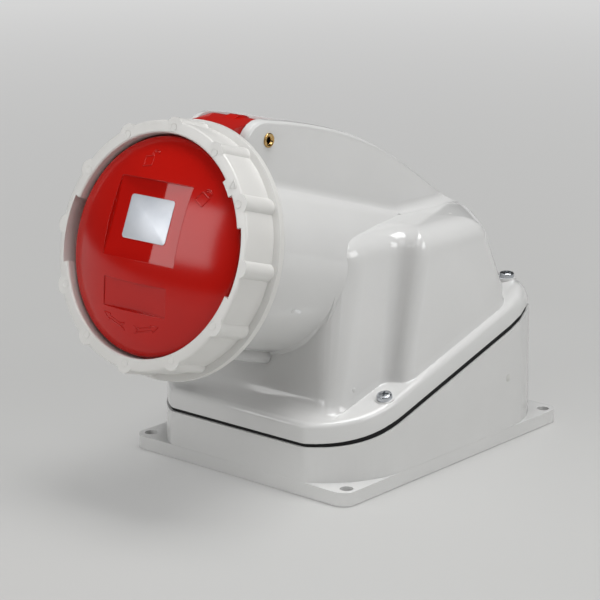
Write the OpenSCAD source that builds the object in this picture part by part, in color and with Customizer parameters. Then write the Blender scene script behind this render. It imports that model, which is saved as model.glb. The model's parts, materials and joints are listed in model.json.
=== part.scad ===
// Surface-mounted inclined power socket outlet with a hinged lid and a bayonet locking ring.
// Millimetres. Z = 0 is the wall face, +Z points away from the wall and the mouth faces -Y.

/* [Mounting base] */
// Width of the flange
base_w = 142; // [132:1:152]
// Length of the flange
base_l = 180; // [170:1:190]
// Thickness of the flange
flange_t = 7; // [4:0.5:10]
// Corner radius of the flange
flange_r = 7; // [3:0.5:8]
// Distance of the fixing holes from the side edges
fix_side = 5.5; // [5:0.1:8]
// Distance of the fixing holes from the end edges
fix_end = 7.3; // [5:0.1:9]
// Diameter of the fixing holes
fix_d = 6.5; // [4:0.5:7]
// Radius of the big wall corners
corner_r = 51; // [49:0.5:55]
// Reach of each big wall corner along the side
corner_run = 45; // [41:0.5:47]
// Radius that rounds the crease between corner and end wall
crease_r = 8; // [4:0.5:14]
// Wall thickness of the base and the hood skirt
wall_t = 4.6; // [3.6:0.1:6]
// Floor thickness of the base
floor_t = 3.5; // [2.5:0.5:6]
// Height of the rim at the low end
rim_z = 24.7; // [20:0.1:30]
// Lean of the rim and of the socket axis in degrees
incline = 16.4; // [12:0.1:18]
// Radius of the hollow bend at the low end of the rim
rim_bend_r = 125; // [90:5:140]
// Radius of the round bend at the high end of the rim
rear_bend_r = 24; // [23:1:34]
// Distance of the highest point of the rim from the high end
rear_top_in = 19; // [17:0.5:22]
// Draft of the walls in degrees
draft = 0.8; // [0:0.1:1.2]
// Diameter of the cable entry in the high end wall
entry_d = 40.5; // [32:0.5:42]
// Height of the cable entry centre
entry_z = 29; // [28:0.5:30]
// Wall thickness round the cable entry
entry_t = 7; // [5:0.5:10]
// Width of the thickened ring round the cable entry
entry_rim = 5; // [3:0.5:8]

/* [Cover joint] */
// Gap between base and hood at the low end
gap_front = 1.8; // [1.2:0.1:3]
// Gap between base and hood along the sides
gap_side = 3.2; // [2:0.1:4]
// Distance from the wall face in to the gasket
gasket_inset = 1.3; // [0.8:0.1:1.6]
// Width of the gasket
gasket_w = 2.8; // [1.5:0.1:3]
// Distance of the low end cover screws from the side walls
screw_front_side = 7.8; // [7.4:0.1:9]
// Distance of the low end cover screws from the low end
screw_front_end = 39; // [37:0.5:42]
// Distance of the high end cover screws from the side walls
screw_rear_side = 22.7; // [21:0.1:24]
// Distance of the high end cover screws from the high end
screw_rear_end = 19.5; // [18:0.5:22]
// Diameter of the cover screw thread
screw_d = 4; // [3:0.5:4.5]
// Diameter of the cover screw heads
screw_head_d = 7.8; // [7:0.1:8.4]
// Height of the cover screw heads
screw_head_h = 2.6; // [2:0.1:3.2]
// Length of the cover screws under the head
screw_l = 25; // [23:0.5:28]
// Width of the screw slots
slot_w = 1; // [0.8:0.1:1.2]
// Length of the cross slots
slot_l = 4.7; // [3.5:0.1:5.5]
// Angle of the cross slots in degrees
slot_a = 30; // [0:5:85]
// Clearance round the cover screws
screw_clear = 0.4; // [0.2:0.1:0.6]
// Radius of the screw columns
boss_r = 5; // [4.5:0.1:5.6]
// Outer diameter of the brass inserts
insert_d = 5.6; // [5.2:0.1:6]
// Length of the brass inserts
insert_l = 9; // [7:0.5:11]
// Depth of the inserts below the rim
insert_depth = 1; // [0.5:0.1:2]

/* [Hood] */
// Height of the skirt above the joint
skirt_h = 10.3; // [9:0.1:12]
// Edge radius along the top of the skirt
skirt_r = 3; // [2:0.1:3.4]
// Depth of the rounded skirt edge at the high end
skirt_rear_r = 8.2; // [4:0.1:8.4]
// Height of the rounded skirt edge at the high end
skirt_rear_h = 15; // [8:0.5:17]
// Setback of the skirt from the base wall
skirt_in = 0.4; // [0.2:0.1:0.8]
// Wall thickness of the hood
hood_t = 3.2; // [2.4:0.1:4]
// Height of the flat roof
roof_z = 121; // [118:0.5:124]
// Fall of the roof towards the high end in degrees
roof_fall = 1; // [0:0.1:3]
// Radius of the roof edge
roof_r = 13; // [10:0.5:14]
// Extra run of the roof edge over the rear corners
diag_roll = 0.4; // [0.2:0.1:0.7]
// Extra run of the roof edge over the rear wall
rear_roll = 0.8; // [0.4:0.1:1]
// Height of the flared foot above the ledge
flare_h = 8; // [6:0.5:10]
// Depth of the flare at the front
flare_front = 7; // [4:0.5:8]
// Depth of the flare on the sides
flare_side = 1.2; // [0.8:0.1:1.4]
// Distance of the front wall foot from the low end
foot_front_in = 15; // [14:0.5:17]
// Distance of the front part from the side wall at its foot
foot_col_in = 18.7; // [18:0.1:20]
// Distance of the shoulder from the low end at its foot
foot_shoulder_in = 53.5; // [52:0.5:56]
// Distance of the main part from the side wall at its foot
foot_side_in = 5.8; // [5.6:0.1:7]
// Cut of the rear corner diagonal at its foot
foot_diag_in = 51.5; // [51:0.5:54]
// Distance of the rear wall foot from the high end
foot_rear_in = 11.3; // [10.6:0.1:13]
// Setback of the front wall from foot to roof edge
lean_front = 13.3; // [12:0.1:15]
// Setback of the front part's sides from foot to roof edge
lean_col = 5.8; // [5:0.1:7]
// Setback of the shoulder from foot to roof edge
lean_shoulder = 16.5; // [15:0.5:18]
// Setback of the main part's sides from foot to roof edge
lean_side = 4.6; // [4:0.1:6]
// Setback of the rear corner diagonal from foot to roof edge
lean_diag = 12.5; // [11:0.5:15]
// Setback of the rear wall from foot to roof edge
lean_rear = 9.7; // [8:0.1:11]
// Radius of the front corners at the foot
foot_corner_r = 12; // [9:0.5:14]
// Radius of the front corners at the roof edge
top_corner_r = 16; // [13:0.5:18]
// Radius of the rear corners
rear_corner_r = 13; // [12:0.5:15]

/* [Barrel and crest] */
// Reach of the front centre of the locking ring past the low end
mouth_reach = 57.8; // [56:0.1:60]
// Height of the front centre of the locking ring
mouth_z = 128.8; // [127:0.2:131]
// Outer radius of the barrel
barrel_r = 43.5; // [43:0.1:44.4]
// Wall thickness of the barrel
barrel_t = 3.2; // [2.6:0.1:3.6]
// Distance of the end of the barrel behind the front of the ring
barrel_end = 172; // [168:1:176]
// Distance of the end of the barrel bore behind the front of the ring
bore_end = 152; // [146:1:156]
// Distance of the barrel rim behind the front of the ring
rim_s = 15.4; // [15.3:0.1:15.5]
// Radius of the wider throat at the barrel rim
throat_r = 42; // [41.8:0.1:42.4]
// Length of the throat
throat_l = 6.5; // [4:0.5:7]
// Radius of the collar at the barrel rim
collar_r = 46; // [45.4:0.1:46.4]
// Length of the collar
collar_l = 11; // [9:0.5:12]
// Half width of the key bulge under the barrel
key_half = 8; // [6:0.5:10]
// Depth of the key bulge from the barrel axis
key_drop = 49; // [47.5:0.1:49.2]
// Edge radius of the key bulge
key_edge = 3; // [1:0.5:4]
// Distance of the end of the key bulge behind the front of the ring
key_end = 92; // [88:1:96]
// Half width of the key slot
slot_half = 4; // [3:0.5:5]
// Half width of the crest
crest_half = 21; // [20:0.1:23]
// Height of the crest above the barrel axis
crest_u = 70.9; // [69:0.1:72]
// Distance of the highest point of the crest behind the front of the ring
crest_top_s = 92; // [88:0.5:96]
// Radius of the front arch of the crest
crest_arch_front = 370; // [300:10:450]
// Radius of the rear arch of the crest
crest_arch_rear = 230; // [210:5:250]
// Slope of the crest tail against the barrel axis in degrees
crest_tail = 16.6; // [15:0.1:18]
// Distance of the crest nose behind the front of the ring
nose_s = 29.5; // [28.6:0.1:30.5]
// Radius of the crest nose
nose_r = 14; // [10:0.5:15]
// Distance of the crest end behind the front of the ring
crest_end = 206; // [200:1:212]
// Depth by which the crest runs into the barrel
crest_sink = 7.5; // [5:0.5:9]
// Edge radius of the crest
crest_edge = 3; // [1.5:0.1:4]
// Radius of the rounding at the foot of the crest
crest_fillet = 5; // [3:0.5:7]
// Radius of the rounding where the barrel meets the front wall
neck_r = 5; // [3:0.5:7]
// Depth by which that rounding runs into the barrel
neck_sink = 0.4; // [0.2:0.1:0.8]
// Thickness of the hinge cheeks
cheek_t = 5.25; // [4:0.05:6.5]

/* [Lid] */
// Distance of the hinge pin behind the front of the ring
pin_s = 45.2; // [44:0.1:46]
// Height of the hinge pin above the barrel axis
pin_u = 58.4; // [58:0.1:59]
// Diameter of the hinge pin
pin_d = 5; // [4:0.1:6]
// Bore of the hinge pin
pin_bore = 3; // [2:0.1:3.4]
// Diameter of the flared pin ends
pin_end_d = 7; // [6.4:0.1:7.6]
// Thickness of the flared pin ends
pin_end_t = 0.8; // [0.5:0.1:1.2]
// Clearance of the pin in the cheeks
pin_fit = 0.03; // [0.02:0.01:0.05]
// Running clearance of the lid on the pin
pin_clear = 0.08; // [0.05:0.01:0.1]
// Radius of the hinge knuckle
knuckle_r = 9; // [8:0.1:9.3]
// Height of the rib on the knuckle
knuckle_rib = 0.9; // [0.5:0.1:1.2]
// Width of the rib on the knuckle
knuckle_rib_w = 7; // [5:0.5:9]
// Distance of the hinge slot floor above the barrel
hinge_floor = 2; // [1.5:0.1:3]
// Clearance behind the hinge knuckle
hinge_back = 0.8; // [0.5:0.1:1.2]
// Distance of the hinge arm behind the ring
arm_back = 0.5; // [0.4:0.05:0.8]
// Drop of the hinge arm below the rear flange of the ring
arm_drop = 2.4; // [1:0.1:3]
// Side clearance of the hinge knuckle
knuckle_clear = 0.35; // [0.3:0.05:0.6]
// Radius of the lid dome edge
lid_r = 51.8; // [51.4:0.1:52.2]
// Height of the dome in front of the ring
dome_h = 8.4; // [7:0.1:9]
// Spherical radius of the dome
dome_r = 115; // [112:1:125]
// Edge radius of the dome
dome_edge = 2; // [1:0.1:2.5]
// Distance of the lid flange behind the front of the ring
lid_flange_s = 11; // [10.9:0.1:11.2]
// Thickness of the lid flange
lid_flange_t = 3.5; // [3:0.1:3.6]
// Radius of the hollow in the lid
lid_hollow_r = 39; // [36:0.5:40]
// Distance of the lid hollow ceiling behind the front of the ring
lid_hollow_s = 1.5; // [1:0.1:4]
// Width of the square recess in the dome
plate_w = 45.5; // [40:0.5:48]
// Height of the square recess in the dome
plate_h = 38; // [34:0.5:40]
// Height of the square recess centre above the axis
plate_u = 11.5; // [8:0.5:13]
// Depth of the square recess
plate_depth = 4.1; // [3.8:0.1:4.4]
// Width of the low recess in the dome
strip_w = 39.4; // [34:0.2:42]
// Height of the low recess in the dome
strip_h = 13.8; // [10:0.2:15]
// Distance of the low recess centre below the axis
strip_u = 25; // [24:0.5:27]
// Depth of the low recess
strip_depth = 2.2; // [2:0.1:2.6]
// Inner radius of the lid strap
strap_r = 50; // [49.4:0.1:50.6]
// Width of the lid strap in degrees
strap_deg = 34; // [28:1:38]
// Thickness of the lid strap
strap_t = 3.4; // [2.6:0.1:3.8]
// Inner radius of the lid seal
seal_r = 40.6; // [40.4:0.1:41]
// Width of the lid seal
seal_w = 5; // [3:0.1:5.2]
// Depth of the lid seal groove
seal_groove = 2; // [1.5:0.1:2.5]
// Clearance between the lid seal and the barrel rim
seal_clear = 0.3; // [0.3:0.05:0.5]

/* [Locking ring] */
// Inner radius of the ring lip
lip_r = 52.8; // [52.6:0.1:53.2]
// Length of the ring lip
lip_l = 10.6; // [10.4:0.1:10.7]
// Radius of the ring bore
bore_r = 56.2; // [56:0.1:56.6]
// Outer radius of the ring between the lobes
ring_r = 58.8; // [58.4:0.1:59.4]
// Radius of the circle on which the lobes stand
lobe_circle = 55.7; // [55.2:0.1:56.2]
// Number of grip lobes
lobe_n = 12; // [10:1:14]
// Angle of the first grip lobe in degrees
lobe_a = -1.8; // [-8:0.2:8]
// Radius of each grip lobe
lobe_round = 5; // [4.4:0.1:5.4]
// Length of the ring
ring_l = 23; // [22.8:0.1:23.2]
// Outer radius of the rear flange
ring_flange_r = 62; // [61.6:0.1:62.6]
// Thickness of the rear flange
ring_flange_t = 3; // [2:0.1:4]
// Half angle of the two windows in degrees
window_half = 17; // [12:0.5:20]
// Outer radius of the two windows
window_r = 55.6; // [54.5:0.1:55.8]
// Angle of the pointer tab in degrees
pointer_a = 38.4; // [34:0.2:42]
// Width of the pointer tab in degrees
pointer_deg = 9; // [6:0.5:12]
// Length of the pointer tab
pointer_l = 1.6; // [1:0.1:2]
// Thickness of the pointer tab
pointer_t = 1.6; // [1.2:0.1:2]
// Edge radius of the ring front
ring_edge = 1.2; // [0.6:0.1:1.6]
// Clearance between lid and ring
ring_clear = 0.35; // [0.3:0.05:0.45]
// Angle through which the ring turns to lock in degrees
ring_turn = 40; // [34:1:44]
// Width of each bayonet tab in degrees
tab_deg = 20; // [14:1:22]
// Inner radius of the bayonet tabs
tab_r = 49.8; // [49.6:0.1:50.2]
// Width of each barrel lug in degrees
lug_deg = 24; // [18:1:26]
// Outer radius of the barrel lugs
lug_r = 51.2; // [50.6:0.1:51.4]
// Axial length of the barrel lugs
lug_l = 2.7; // [2.2:0.1:2.8]
// Axial clearance between lug and tab
lug_clear = 0.5; // [0.4:0.05:0.6]
// Setback of the barrel lugs from the barrel rim
lug_back = 0.5; // [0.4:0.05:0.6]
// Angle of the first barrel lug in degrees
lug_a = 10; // [0:1:20]
// Setback of the bayonet tabs from the back of the ring
tab_back = 0.4; // [0.3:0.05:0.6]
// Depth of the catches that hold the lid flange in the ring
catch_h = 1.8; // [1.2:0.1:2]
// Thickness of the catches
catch_t = 2; // [1.5:0.1:2.4]

/* [Contacts] */
// Radius of the contact carrier
carrier_r = 31.5; // [31:0.1:32]
// Distance of the carrier face behind the front of the ring
carrier_s = 23; // [21:0.5:26]
// Distance of the carrier seat behind the front of the ring
seat_s = 77; // [74:0.5:80]
// Thickness of the seat step in the barrel
seat_t = 6; // [5:0.5:8]
// Depth of the seat step in the barrel
seat_step = 2; // [1.5:0.1:2.5]
// Width of the screw lugs on the seat in degrees
seat_lug_deg = 16; // [14:1:20]
// Thickness of the clamp plate
clamp_plate_t = 5.5; // [4:0.1:7]
// Width of the carrier shoulder under the clamp plate
carrier_shoulder = 1; // [0.8:0.1:1.2]
// Thickness of the carrier shoulder
carrier_shoulder_t = 2; // [1.5:0.1:2.5]
// Clearance between carrier and clamp plate
plate_clear = 0.1; // [0.05:0.01:0.15]
// Thickness of the carrier seal
carrier_seal_t = 1.4; // [1:0.1:2]
// Clearance between the carrier and the seat lugs
seat_gap = 1.1; // [0.8:0.1:1.4]
// Clearance of the carrier in the barrel
carrier_clear = 0.5; // [0.3:0.1:0.8]
// Radius of the contact circle
contact_circle = 19.5; // [18.5:0.1:20]
// Bore of the line contacts
line_bore = 8.2; // [8:0.1:8.6]
// Outer diameter of the line contacts
line_d = 12; // [11:0.1:12.4]
// Bore of the earth contact
earth_bore = 10.2; // [10:0.1:10.6]
// Outer diameter of the earth contact
earth_d = 14; // [13.4:0.1:14.4]
// Bore of the pilot contact
pilot_bore = 6.2; // [6:0.1:6.4]
// Outer diameter of the pilot contact
pilot_d = 9; // [8.4:0.1:9.4]
// Width of the collar on each contact
contact_collar = 1.2; // [0.8:0.1:1.3]
// Length of the collar on each contact
contact_collar_l = 3.5; // [2.5:0.1:4]
// Clearance of the contacts in the carrier
contact_clear = 0.1; // [0.05:0.01:0.15]
// Distance of the contact mouths behind the carrier face
mouth_depth = 4; // [3:0.5:6]
// Depth of the pin bores
pin_bore_l = 30; // [26:1:34]
// Length of the terminals behind the seat
terminal_l = 27; // [22:1:30]
// Diameter of the wire holes
wire_d = 7; // [6:0.2:7.2]
// Depth of the wire holes
wire_l = 18; // [14:1:19]
// Diameter of the terminal screws
clamp_d = 5; // [4:0.2:5.4]
// Length of the terminal screws
clamp_l = 4.4; // [3.6:0.1:5]
// Depth of the terminal screws in the terminal wall
clamp_in = 2.4; // [1.6:0.1:2.5]
// Wall that stays between pin bore and wire hole in a thin contact
wire_wall = 1.2; // [1:0.1:1.6]
// Widening of the pin openings in the carrier face
mouth_lead = 1; // [0.6:0.1:1.4]
// Thickness of the retainer plate
retainer_t = 4; // [3:0.1:5]
// Diameter of the carrier screws
carrier_screw_d = 3.5; // [3:0.1:3.6]
// Diameter of the carrier screw heads
carrier_head_d = 6; // [5.4:0.1:6]
// Height of the carrier screw heads
carrier_head_h = 2.2; // [1.8:0.1:2.6]
// Angle between each carrier screw and the level line in degrees
carrier_screw_a = 60; // [50:1:70]
// Distance of the retainer screws from the edge of the carrier
retainer_screw_in = 4.5; // [4:0.1:5]
// Depth of the retainer screws in the carrier
retainer_screw_l = 10; // [8:0.5:12]
// Diameter of the thread of the retainer screws
retainer_screw_d = 3; // [2.6:0.1:3.2]

/* [Hidden] */
$fn = 72;
over = 1;
lug_n = 3;
lug_step = 360 / lug_n;
grey = [0.80, 0.80, 0.78];
white = [0.84, 0.83, 0.80];
red = [0.69, 0.10, 0.07];
black = [0.06, 0.06, 0.06];
dark = [0.17, 0.17, 0.18];
zinc = [0.75, 0.76, 0.78];
brass = [0.78, 0.62, 0.30];

half_w = base_w / 2;
half_l = base_l / 2;
corner_x = half_w - corner_r;
corner_y = half_l - corner_run;
mouth_y = half_l + mouth_reach;
rear_top_y = half_l - rear_top_in;

// Heights along the joint between base and hood
bend_run = rim_bend_r * sin(incline);
mid_z = rim_z + (half_l - rim_bend_r * tan(incline / 2)) * tan(incline);
roll_y = rear_top_y - rear_bend_r * sin(incline);
rear_z = mid_z + roll_y * tan(incline) + rear_bend_r * (1 - cos(incline));
function bend_rise(r, run) = r - sqrt(r * r - run * run);
function rim_at(y) = y <= bend_run - half_l ? rim_z + bend_rise(rim_bend_r, max(0, half_l + y))
    : y >= roll_y ? rear_z - bend_rise(rear_bend_r, min(half_l, y) - rear_top_y)
    : mid_z + y * tan(incline);
function lean_at(y) = y >= roll_y ? asin((rear_top_y - y) / rear_bend_r)
    : asin(min(bend_run, half_l + y) / rim_bend_r);
function gap_at(y) = gap_front + (gap_side - gap_front) * max(0, min(1, (y + half_l) / bend_run));
function edge_at(y) = rim_at(y) + gap_at(y);
function ledge_at(y) = edge_at(y) + skirt_h;
joint_y = concat([-half_l - flange_r], [for (i = [0:8]) bend_run * i / 8 - half_l],
    [for (i = [0:10]) roll_y + (half_l - roll_y) * i / 10], [half_l + flange_r]);
function skirt_edge_at(y, rear) =
    let (k = max(0, min(1, (y - corner_y) / (half_l - skirt_rear_r - corner_y))))
    skirt_r + (rear - skirt_r) * k * k * (3 - 2 * k);

// Outlines of the base wall and of the hood, from the front middle round +X to the rear middle
function arc(cx, cy, r, a0, a1, n) =
    [for (i = [0:n]) let (a = a0 + (a1 - a0) * i / n) [cx + r * cos(a), cy + r * sin(a)]];
function mirrored(p) = concat(p, [for (i = [len(p) - 2:-1:1]) [-p[i][0], p[i][1]]]);
crease_lift = corner_r - crease_r;
crease_y = corner_run - crease_r;
crease_dx = sqrt(crease_lift * crease_lift - crease_y * crease_y);
crease_a = atan2(crease_y, crease_dx);
function wall_half(d) = concat([[0, d - half_l]],
    arc(corner_x + crease_dx, -corner_y - crease_y, crease_r - d, -90, -crease_a, 3),
    arc(corner_x, -corner_y, corner_r - d, -crease_a * 12 / 13, 0, 12),
    arc(corner_x, corner_y, corner_r - d, 0, crease_a * 4 / 5, 4),
    arc(corner_x + crease_dx, corner_y + crease_y, crease_r - d, crease_a, 90, 2), [[0, half_l - d]]);
function wall_plan(d) = mirrored(wall_half(d));
function taper(z) = z * tan(draft);
function wall_at(d, z) = at_height(wall_plan(d + taper(z)), z);
function wall_under_ledge(d, drop, limit) = let (a = wall_plan(skirt_in), b = wall_plan(d), c = wall_plan(d + 1))
    [for (i = [0:len(a) - 1]) let (y = a[i][1], z = ledge_at(y) - hood_t - drop * skirt_edge_at(y, skirt_rear_h),
    q = b[i] + (c[i] - b[i]) * taper(z)) [q[0], min(q[1], limit), z]];
function skirt_edge(turn) = let (a = wall_plan(skirt_in), b = wall_plan(skirt_in + 1))
    [for (i = [0:len(a) - 1]) let (y = a[i][1],
    z = ledge_at(y) + skirt_edge_at(y, skirt_rear_h) * (sin(turn) - 1),
    q = a[i] + (b[i] - a[i]) * (skirt_edge_at(y, skirt_rear_r) * (1 - cos(turn)) + taper(z))) [q[0], q[1], z]];

// Block outline: front, corner radius, front half width, shoulder, main half width, diagonal, rear
function grown(p, front, side) = [p[0] + front, p[1] + side, p[2] + side, p[3] + side, p[4] + side,
    p[5] + side * sqrt(2), p[6] + side];
function block_half(p, d, e) = let (c = p[2] - d, m = p[4] - d, rc = max(1, p[1] - d), yf = d - p[0],
    ys = d - p[3], rs = max(0.6, (p[4] - p[2]) / 2 - d), rk = m - c - rs, rr = max(1, rear_corner_r - d),
    g = p[5] - (d + e * diag_roll) * sqrt(2), yr = p[6] - d - e * rear_roll, k = rr * (1 - sqrt(2)))
    concat([[0, yf]], arc(c - rc, yf + rc, rc, -90, 0, 6), arc(c + rk, ys - rk, rk, 180, 90, 4),
    arc(m - rs, ys + rs, rs, -90, 0, 4), arc(m - rr, g - m + k, rr, 0, 45, 3),
    arc(g - yr + k, yr - rr, rr, 45, 90, 3), [[0, yr]]);
function block_plan(p, d, e = 0) = mirrored(block_half(p, d, e));
foot = [half_l - foot_front_in, foot_corner_r, half_w - foot_col_in, half_l - foot_shoulder_in,
    half_w - foot_side_in, half_w + half_l - foot_diag_in, half_l - foot_rear_in];
top = [foot[0] - lean_front, top_corner_r, foot[2] - lean_col, foot[3] - lean_shoulder,
    foot[4] - lean_side, foot[5] - lean_diag, foot[6] - lean_rear];
spring_z = roof_z - roof_r;
fall_y = -top[3];

function at_height(p, z) = [for (q = p) [q[0], q[1], z]];
function under_roof(p, z) = [for (q = p) [q[0], q[1], z - max(0, q[1] - fall_y) * tan(roof_fall)]];
function on_ledge(p, lift) = [for (q = p) [q[0], q[1], ledge_at(q[1]) + lift]];

// Solid through a stack of rings with equal numbers of points
module loft(rings) {
    n = len(rings[0]);
    m = len(rings);
    mid = function (r) [for (k = [0:2]) (r[0][k] + r[n / 2][k]) / 2];
    points = concat([for (r = rings) for (q = r) q], [mid(rings[0]), mid(rings[m - 1])]);
    faces = concat(
        [for (j = [0:m - 2]) for (i = [0:n - 1]) [j * n + i, (j + 1) * n + i, (j + 1) * n + (i + 1) % n]],
        [for (j = [0:m - 2]) for (i = [0:n - 1]) [j * n + i, (j + 1) * n + (i + 1) % n, j * n + (i + 1) % n]],
        [for (i = [0:n - 1]) [m * n, i, (i + 1) % n]],
        [for (i = [0:n - 1]) [m * n + 1, (m - 1) * n + (i + 1) % n, (m - 1) * n + i]]);
    polyhedron(points, faces);
}

// Space under the rim or under the hood edge
module below(profile) {
    rotate([90, 0, 90]) linear_extrude(base_w + 2 * over, center = true)
        polygon(concat([[joint_y[0], -over]], profile, [[joint_y[len(joint_y) - 1], -over]]));
}

module below_rim() {
    below([for (y = joint_y) [y, rim_at(y)]]);
}

module below_edge() {
    below([for (y = joint_y) [y, edge_at(y)]]);
}

module above_rim() {
    rotate([90, 0, 90]) linear_extrude(base_w + 2 * over, center = true) polygon(concat([[joint_y[0], 2 * roof_z]],
        [for (y = joint_y) [y, rim_at(y)]], [[joint_y[len(joint_y) - 1], 2 * roof_z]]));
}

module round_rect(w, l, r) {
    square([w - 2 * r, l], center = true);
    square([w, l - 2 * r], center = true);
    for (sx = [-1, 1], sy = [-1, 1]) translate([sx * (w / 2 - r), sy * (l / 2 - r)]) circle(r, $fn = 32);
}

// Frame of the barrel: local Z leaves the mouth, local Y points up, Z = 0 is the ring front
module at_mouth() {
    translate([0, -mouth_y, mouth_z]) rotate([90 - incline, 0, 0]) children();
}

// Side profile of the barrel frame as distance behind the ring front and height above the axis
module side_profile(w, points) {
    rotate([0, 90, 0]) linear_extrude(w, center = true) polygon(points);
}

// Full turn body from points of radius and distance behind the ring front
module turned(points) {
    rotate_extrude() polygon([for (q = points) [q[0], -q[1]]]);
}

module tube(r_in, r_out, s0, s1) {
    turned([[r_in, s0], [r_out, s0], [r_out, s1], [r_in, s1]]);
}

// Sector of a tube, centred on an angle measured from +X
module sector(r_in, r_out, s0, s1, mid, width) {
    translate([0, 0, -s1]) rotate([0, 0, mid - width / 2]) rotate_extrude(angle = width)
        translate([r_in, 0]) square([r_out - r_in, s1 - s0]);
}

module at_cover_screws() {
    for (sx = [-1, 1], q = [[half_w - screw_front_side, screw_front_end - half_l],
        [half_w - screw_rear_side, half_l - screw_rear_end]])
        translate([sx * q[0], q[1], ledge_at(q[1])]) rotate([lean_at(q[1]), 0, 0]) children();
}

insert_top = skirt_h + gap_side + insert_depth;

// Mounting base with flange, screw columns and cable entry
module mounting_base() {
    color(grey) difference() {
        union() {
            linear_extrude(flange_t) round_rect(base_w, base_l, flange_r);
            difference() {
                loft([wall_at(0, 0), wall_at(0, rear_z + over)]);
                loft([wall_at(wall_t, floor_t), wall_at(wall_t, rear_z + 2 * over)]);
            }
            intersection() {
                loft([wall_at(wall_t / 2, floor_t / 2), wall_at(wall_t / 2, rear_z + over)]);
                at_cover_screws() translate([0, 0, -2 * rear_z])
                    cylinder(r = boss_r, h = 2 * rear_z, $fn = 32);
            }
            translate([0, half_l - wall_t / 2, entry_z]) rotate([90, 0, 0])
                cylinder(d = entry_d + 2 * entry_rim, h = entry_t - wall_t / 2);
        }
        above_rim();
        for (sx = [-1, 1], sy = [-1, 1])
            translate([sx * (half_w - fix_side), sy * (half_l - fix_end), -over])
            cylinder(d = fix_d, h = flange_t + 2 * over, $fn = 32);
        translate([0, half_l + over, entry_z]) rotate([90, 0, 0])
            cylinder(d = entry_d, h = entry_t + 2 * over);
        at_cover_screws() {
            translate([0, 0, -screw_l - 2]) cylinder(d = screw_d + screw_clear, h = screw_l, $fn = 32);
            translate([0, 0, -insert_top - insert_l])
                cylinder(d = insert_d, h = insert_l + insert_top, $fn = 32);
        }
    }
}

// Gasket in the joint between base and hood
module cover_gasket() {
    color(black) difference() {
        intersection() {
            loft([wall_at(gasket_inset, 0), wall_at(gasket_inset, rear_z + skirt_h)]);
            below_edge();
        }
        below_rim();
        loft([wall_at(gasket_inset + gasket_w, -over), wall_at(gasket_inset + gasket_w, rear_z + skirt_h + over)]);
    }
}

// Hood with inclined barrel and hinge crest
module block() {
    loft(concat([wall_at(skirt_in, rim_z - over)], [for (a = [0, 22, 45, 68, 90]) skirt_edge(a)],
        [for (a = [0, 15, 35, 60, 90]) on_ledge(block_plan(grown(foot, flare_front * (1 - sin(a)),
            flare_side * (1 - sin(a))), 0), flare_h * (1 - cos(a)))],
        [for (a = [0, 18, 36, 54, 72, 90]) let (d = roof_r * (1 - cos(a)))
            under_roof(block_plan(top, d, d), spring_z + roof_r * sin(a))]));
}

module block_hollow() {
    core_r = roof_r - hood_t;
    rear_y = half_l - skirt_in - skirt_rear_r - taper(rear_z) - hood_t;
    loft(concat([wall_at(wall_t, rim_z - 2 * over), wall_under_ledge(wall_t, 1, half_l),
        wall_under_ledge(wall_t + skirt_r, 0, rear_y), on_ledge(block_plan(foot, hood_t), 0)],
        [for (a = [0, 30, 60, 90]) let (d = core_r * (1 - cos(a)))
            under_roof(block_plan(top, hood_t + d, d * roof_r / core_r), spring_z + core_r * sin(a))]));
}

tail_dx = crest_arch_rear * sin(crest_tail);
tail_u = crest_u - crest_arch_rear * (1 - cos(crest_tail));
crest_low = barrel_r - crest_sink;
nose_end = nose_s + nose_r;
nose_u = crest_u - bend_rise(crest_arch_front, crest_top_s - nose_end) - nose_r;
function crest_line(d) = concat(
    [[nose_s + d, crest_low]],
    [for (a = [180, 165, 150, 135, 120, 105, 95])
        [nose_end + (nose_r - d) * cos(a), nose_u + (nose_r - d) * sin(a)]],
    [for (i = [1:4]) let (s = nose_end + (crest_top_s - nose_end) * i / 5)
        [s, crest_u - d - bend_rise(crest_arch_front, crest_top_s - s)]],
    [for (i = [0:6]) let (a = crest_tail * i / 6, r = crest_arch_rear - d)
        [crest_top_s + r * sin(a), crest_u - crest_arch_rear + r * cos(a)]],
    [[crest_end, tail_u - (crest_end - crest_top_s - tail_dx) * tan(crest_tail) - d],
        [crest_end, crest_low]]);

module crest() {
    edge = [for (a = [0, 30, 60, 90]) [crest_half - crest_edge * (1 - cos(a)), crest_edge * (1 - sin(a))]];
    sides = concat(edge, [for (i = [3:-1:0]) [-edge[i][0], edge[i][1]]]);
    loft([for (e = sides) [for (q = crest_line(e[1])) [e[0], q[1], -q[0]]]]);
}

// Rounding where the crest meets the barrel and the roof
fillet_u = sqrt(pow(barrel_r + crest_fillet, 2) - pow(crest_half + crest_fillet, 2));
fillet_a = atan2(fillet_u, crest_half + crest_fillet);
fillet_end = crest_top_s + tail_dx;
module crest_fillets() {
    side = crest_half - over;
    core = barrel_r - over;
    for (sx = [0, 1]) mirror([sx, 0, 0]) translate([0, 0, -fillet_end])
        linear_extrude(fillet_end - nose_end) polygon(concat([[side, fillet_u]],
        arc(crest_half + crest_fillet, fillet_u, crest_fillet, 180, 180 + fillet_a, 5),
        [[core * cos(fillet_a), core * sin(fillet_a)], [side, crest_low]]));
}

module roof_fillets() {
    side = crest_half - over;
    far = crest_half + crest_fillet;
    for (sx = [0, 1]) mirror([sx, 0, 0]) intersection() {
        translate([0, fall_y, roof_z]) rotate([90 - roof_fall, 0, 0]) linear_extrude(base_l, center = true)
            polygon(concat([[side, crest_fillet]], arc(far, crest_fillet, crest_fillet, 180, 270, 5),
            [[far, -over], [side, -over]]));
        at_mouth() side_profile(4 * crest_half, crest_line(over));
    }
}

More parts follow.
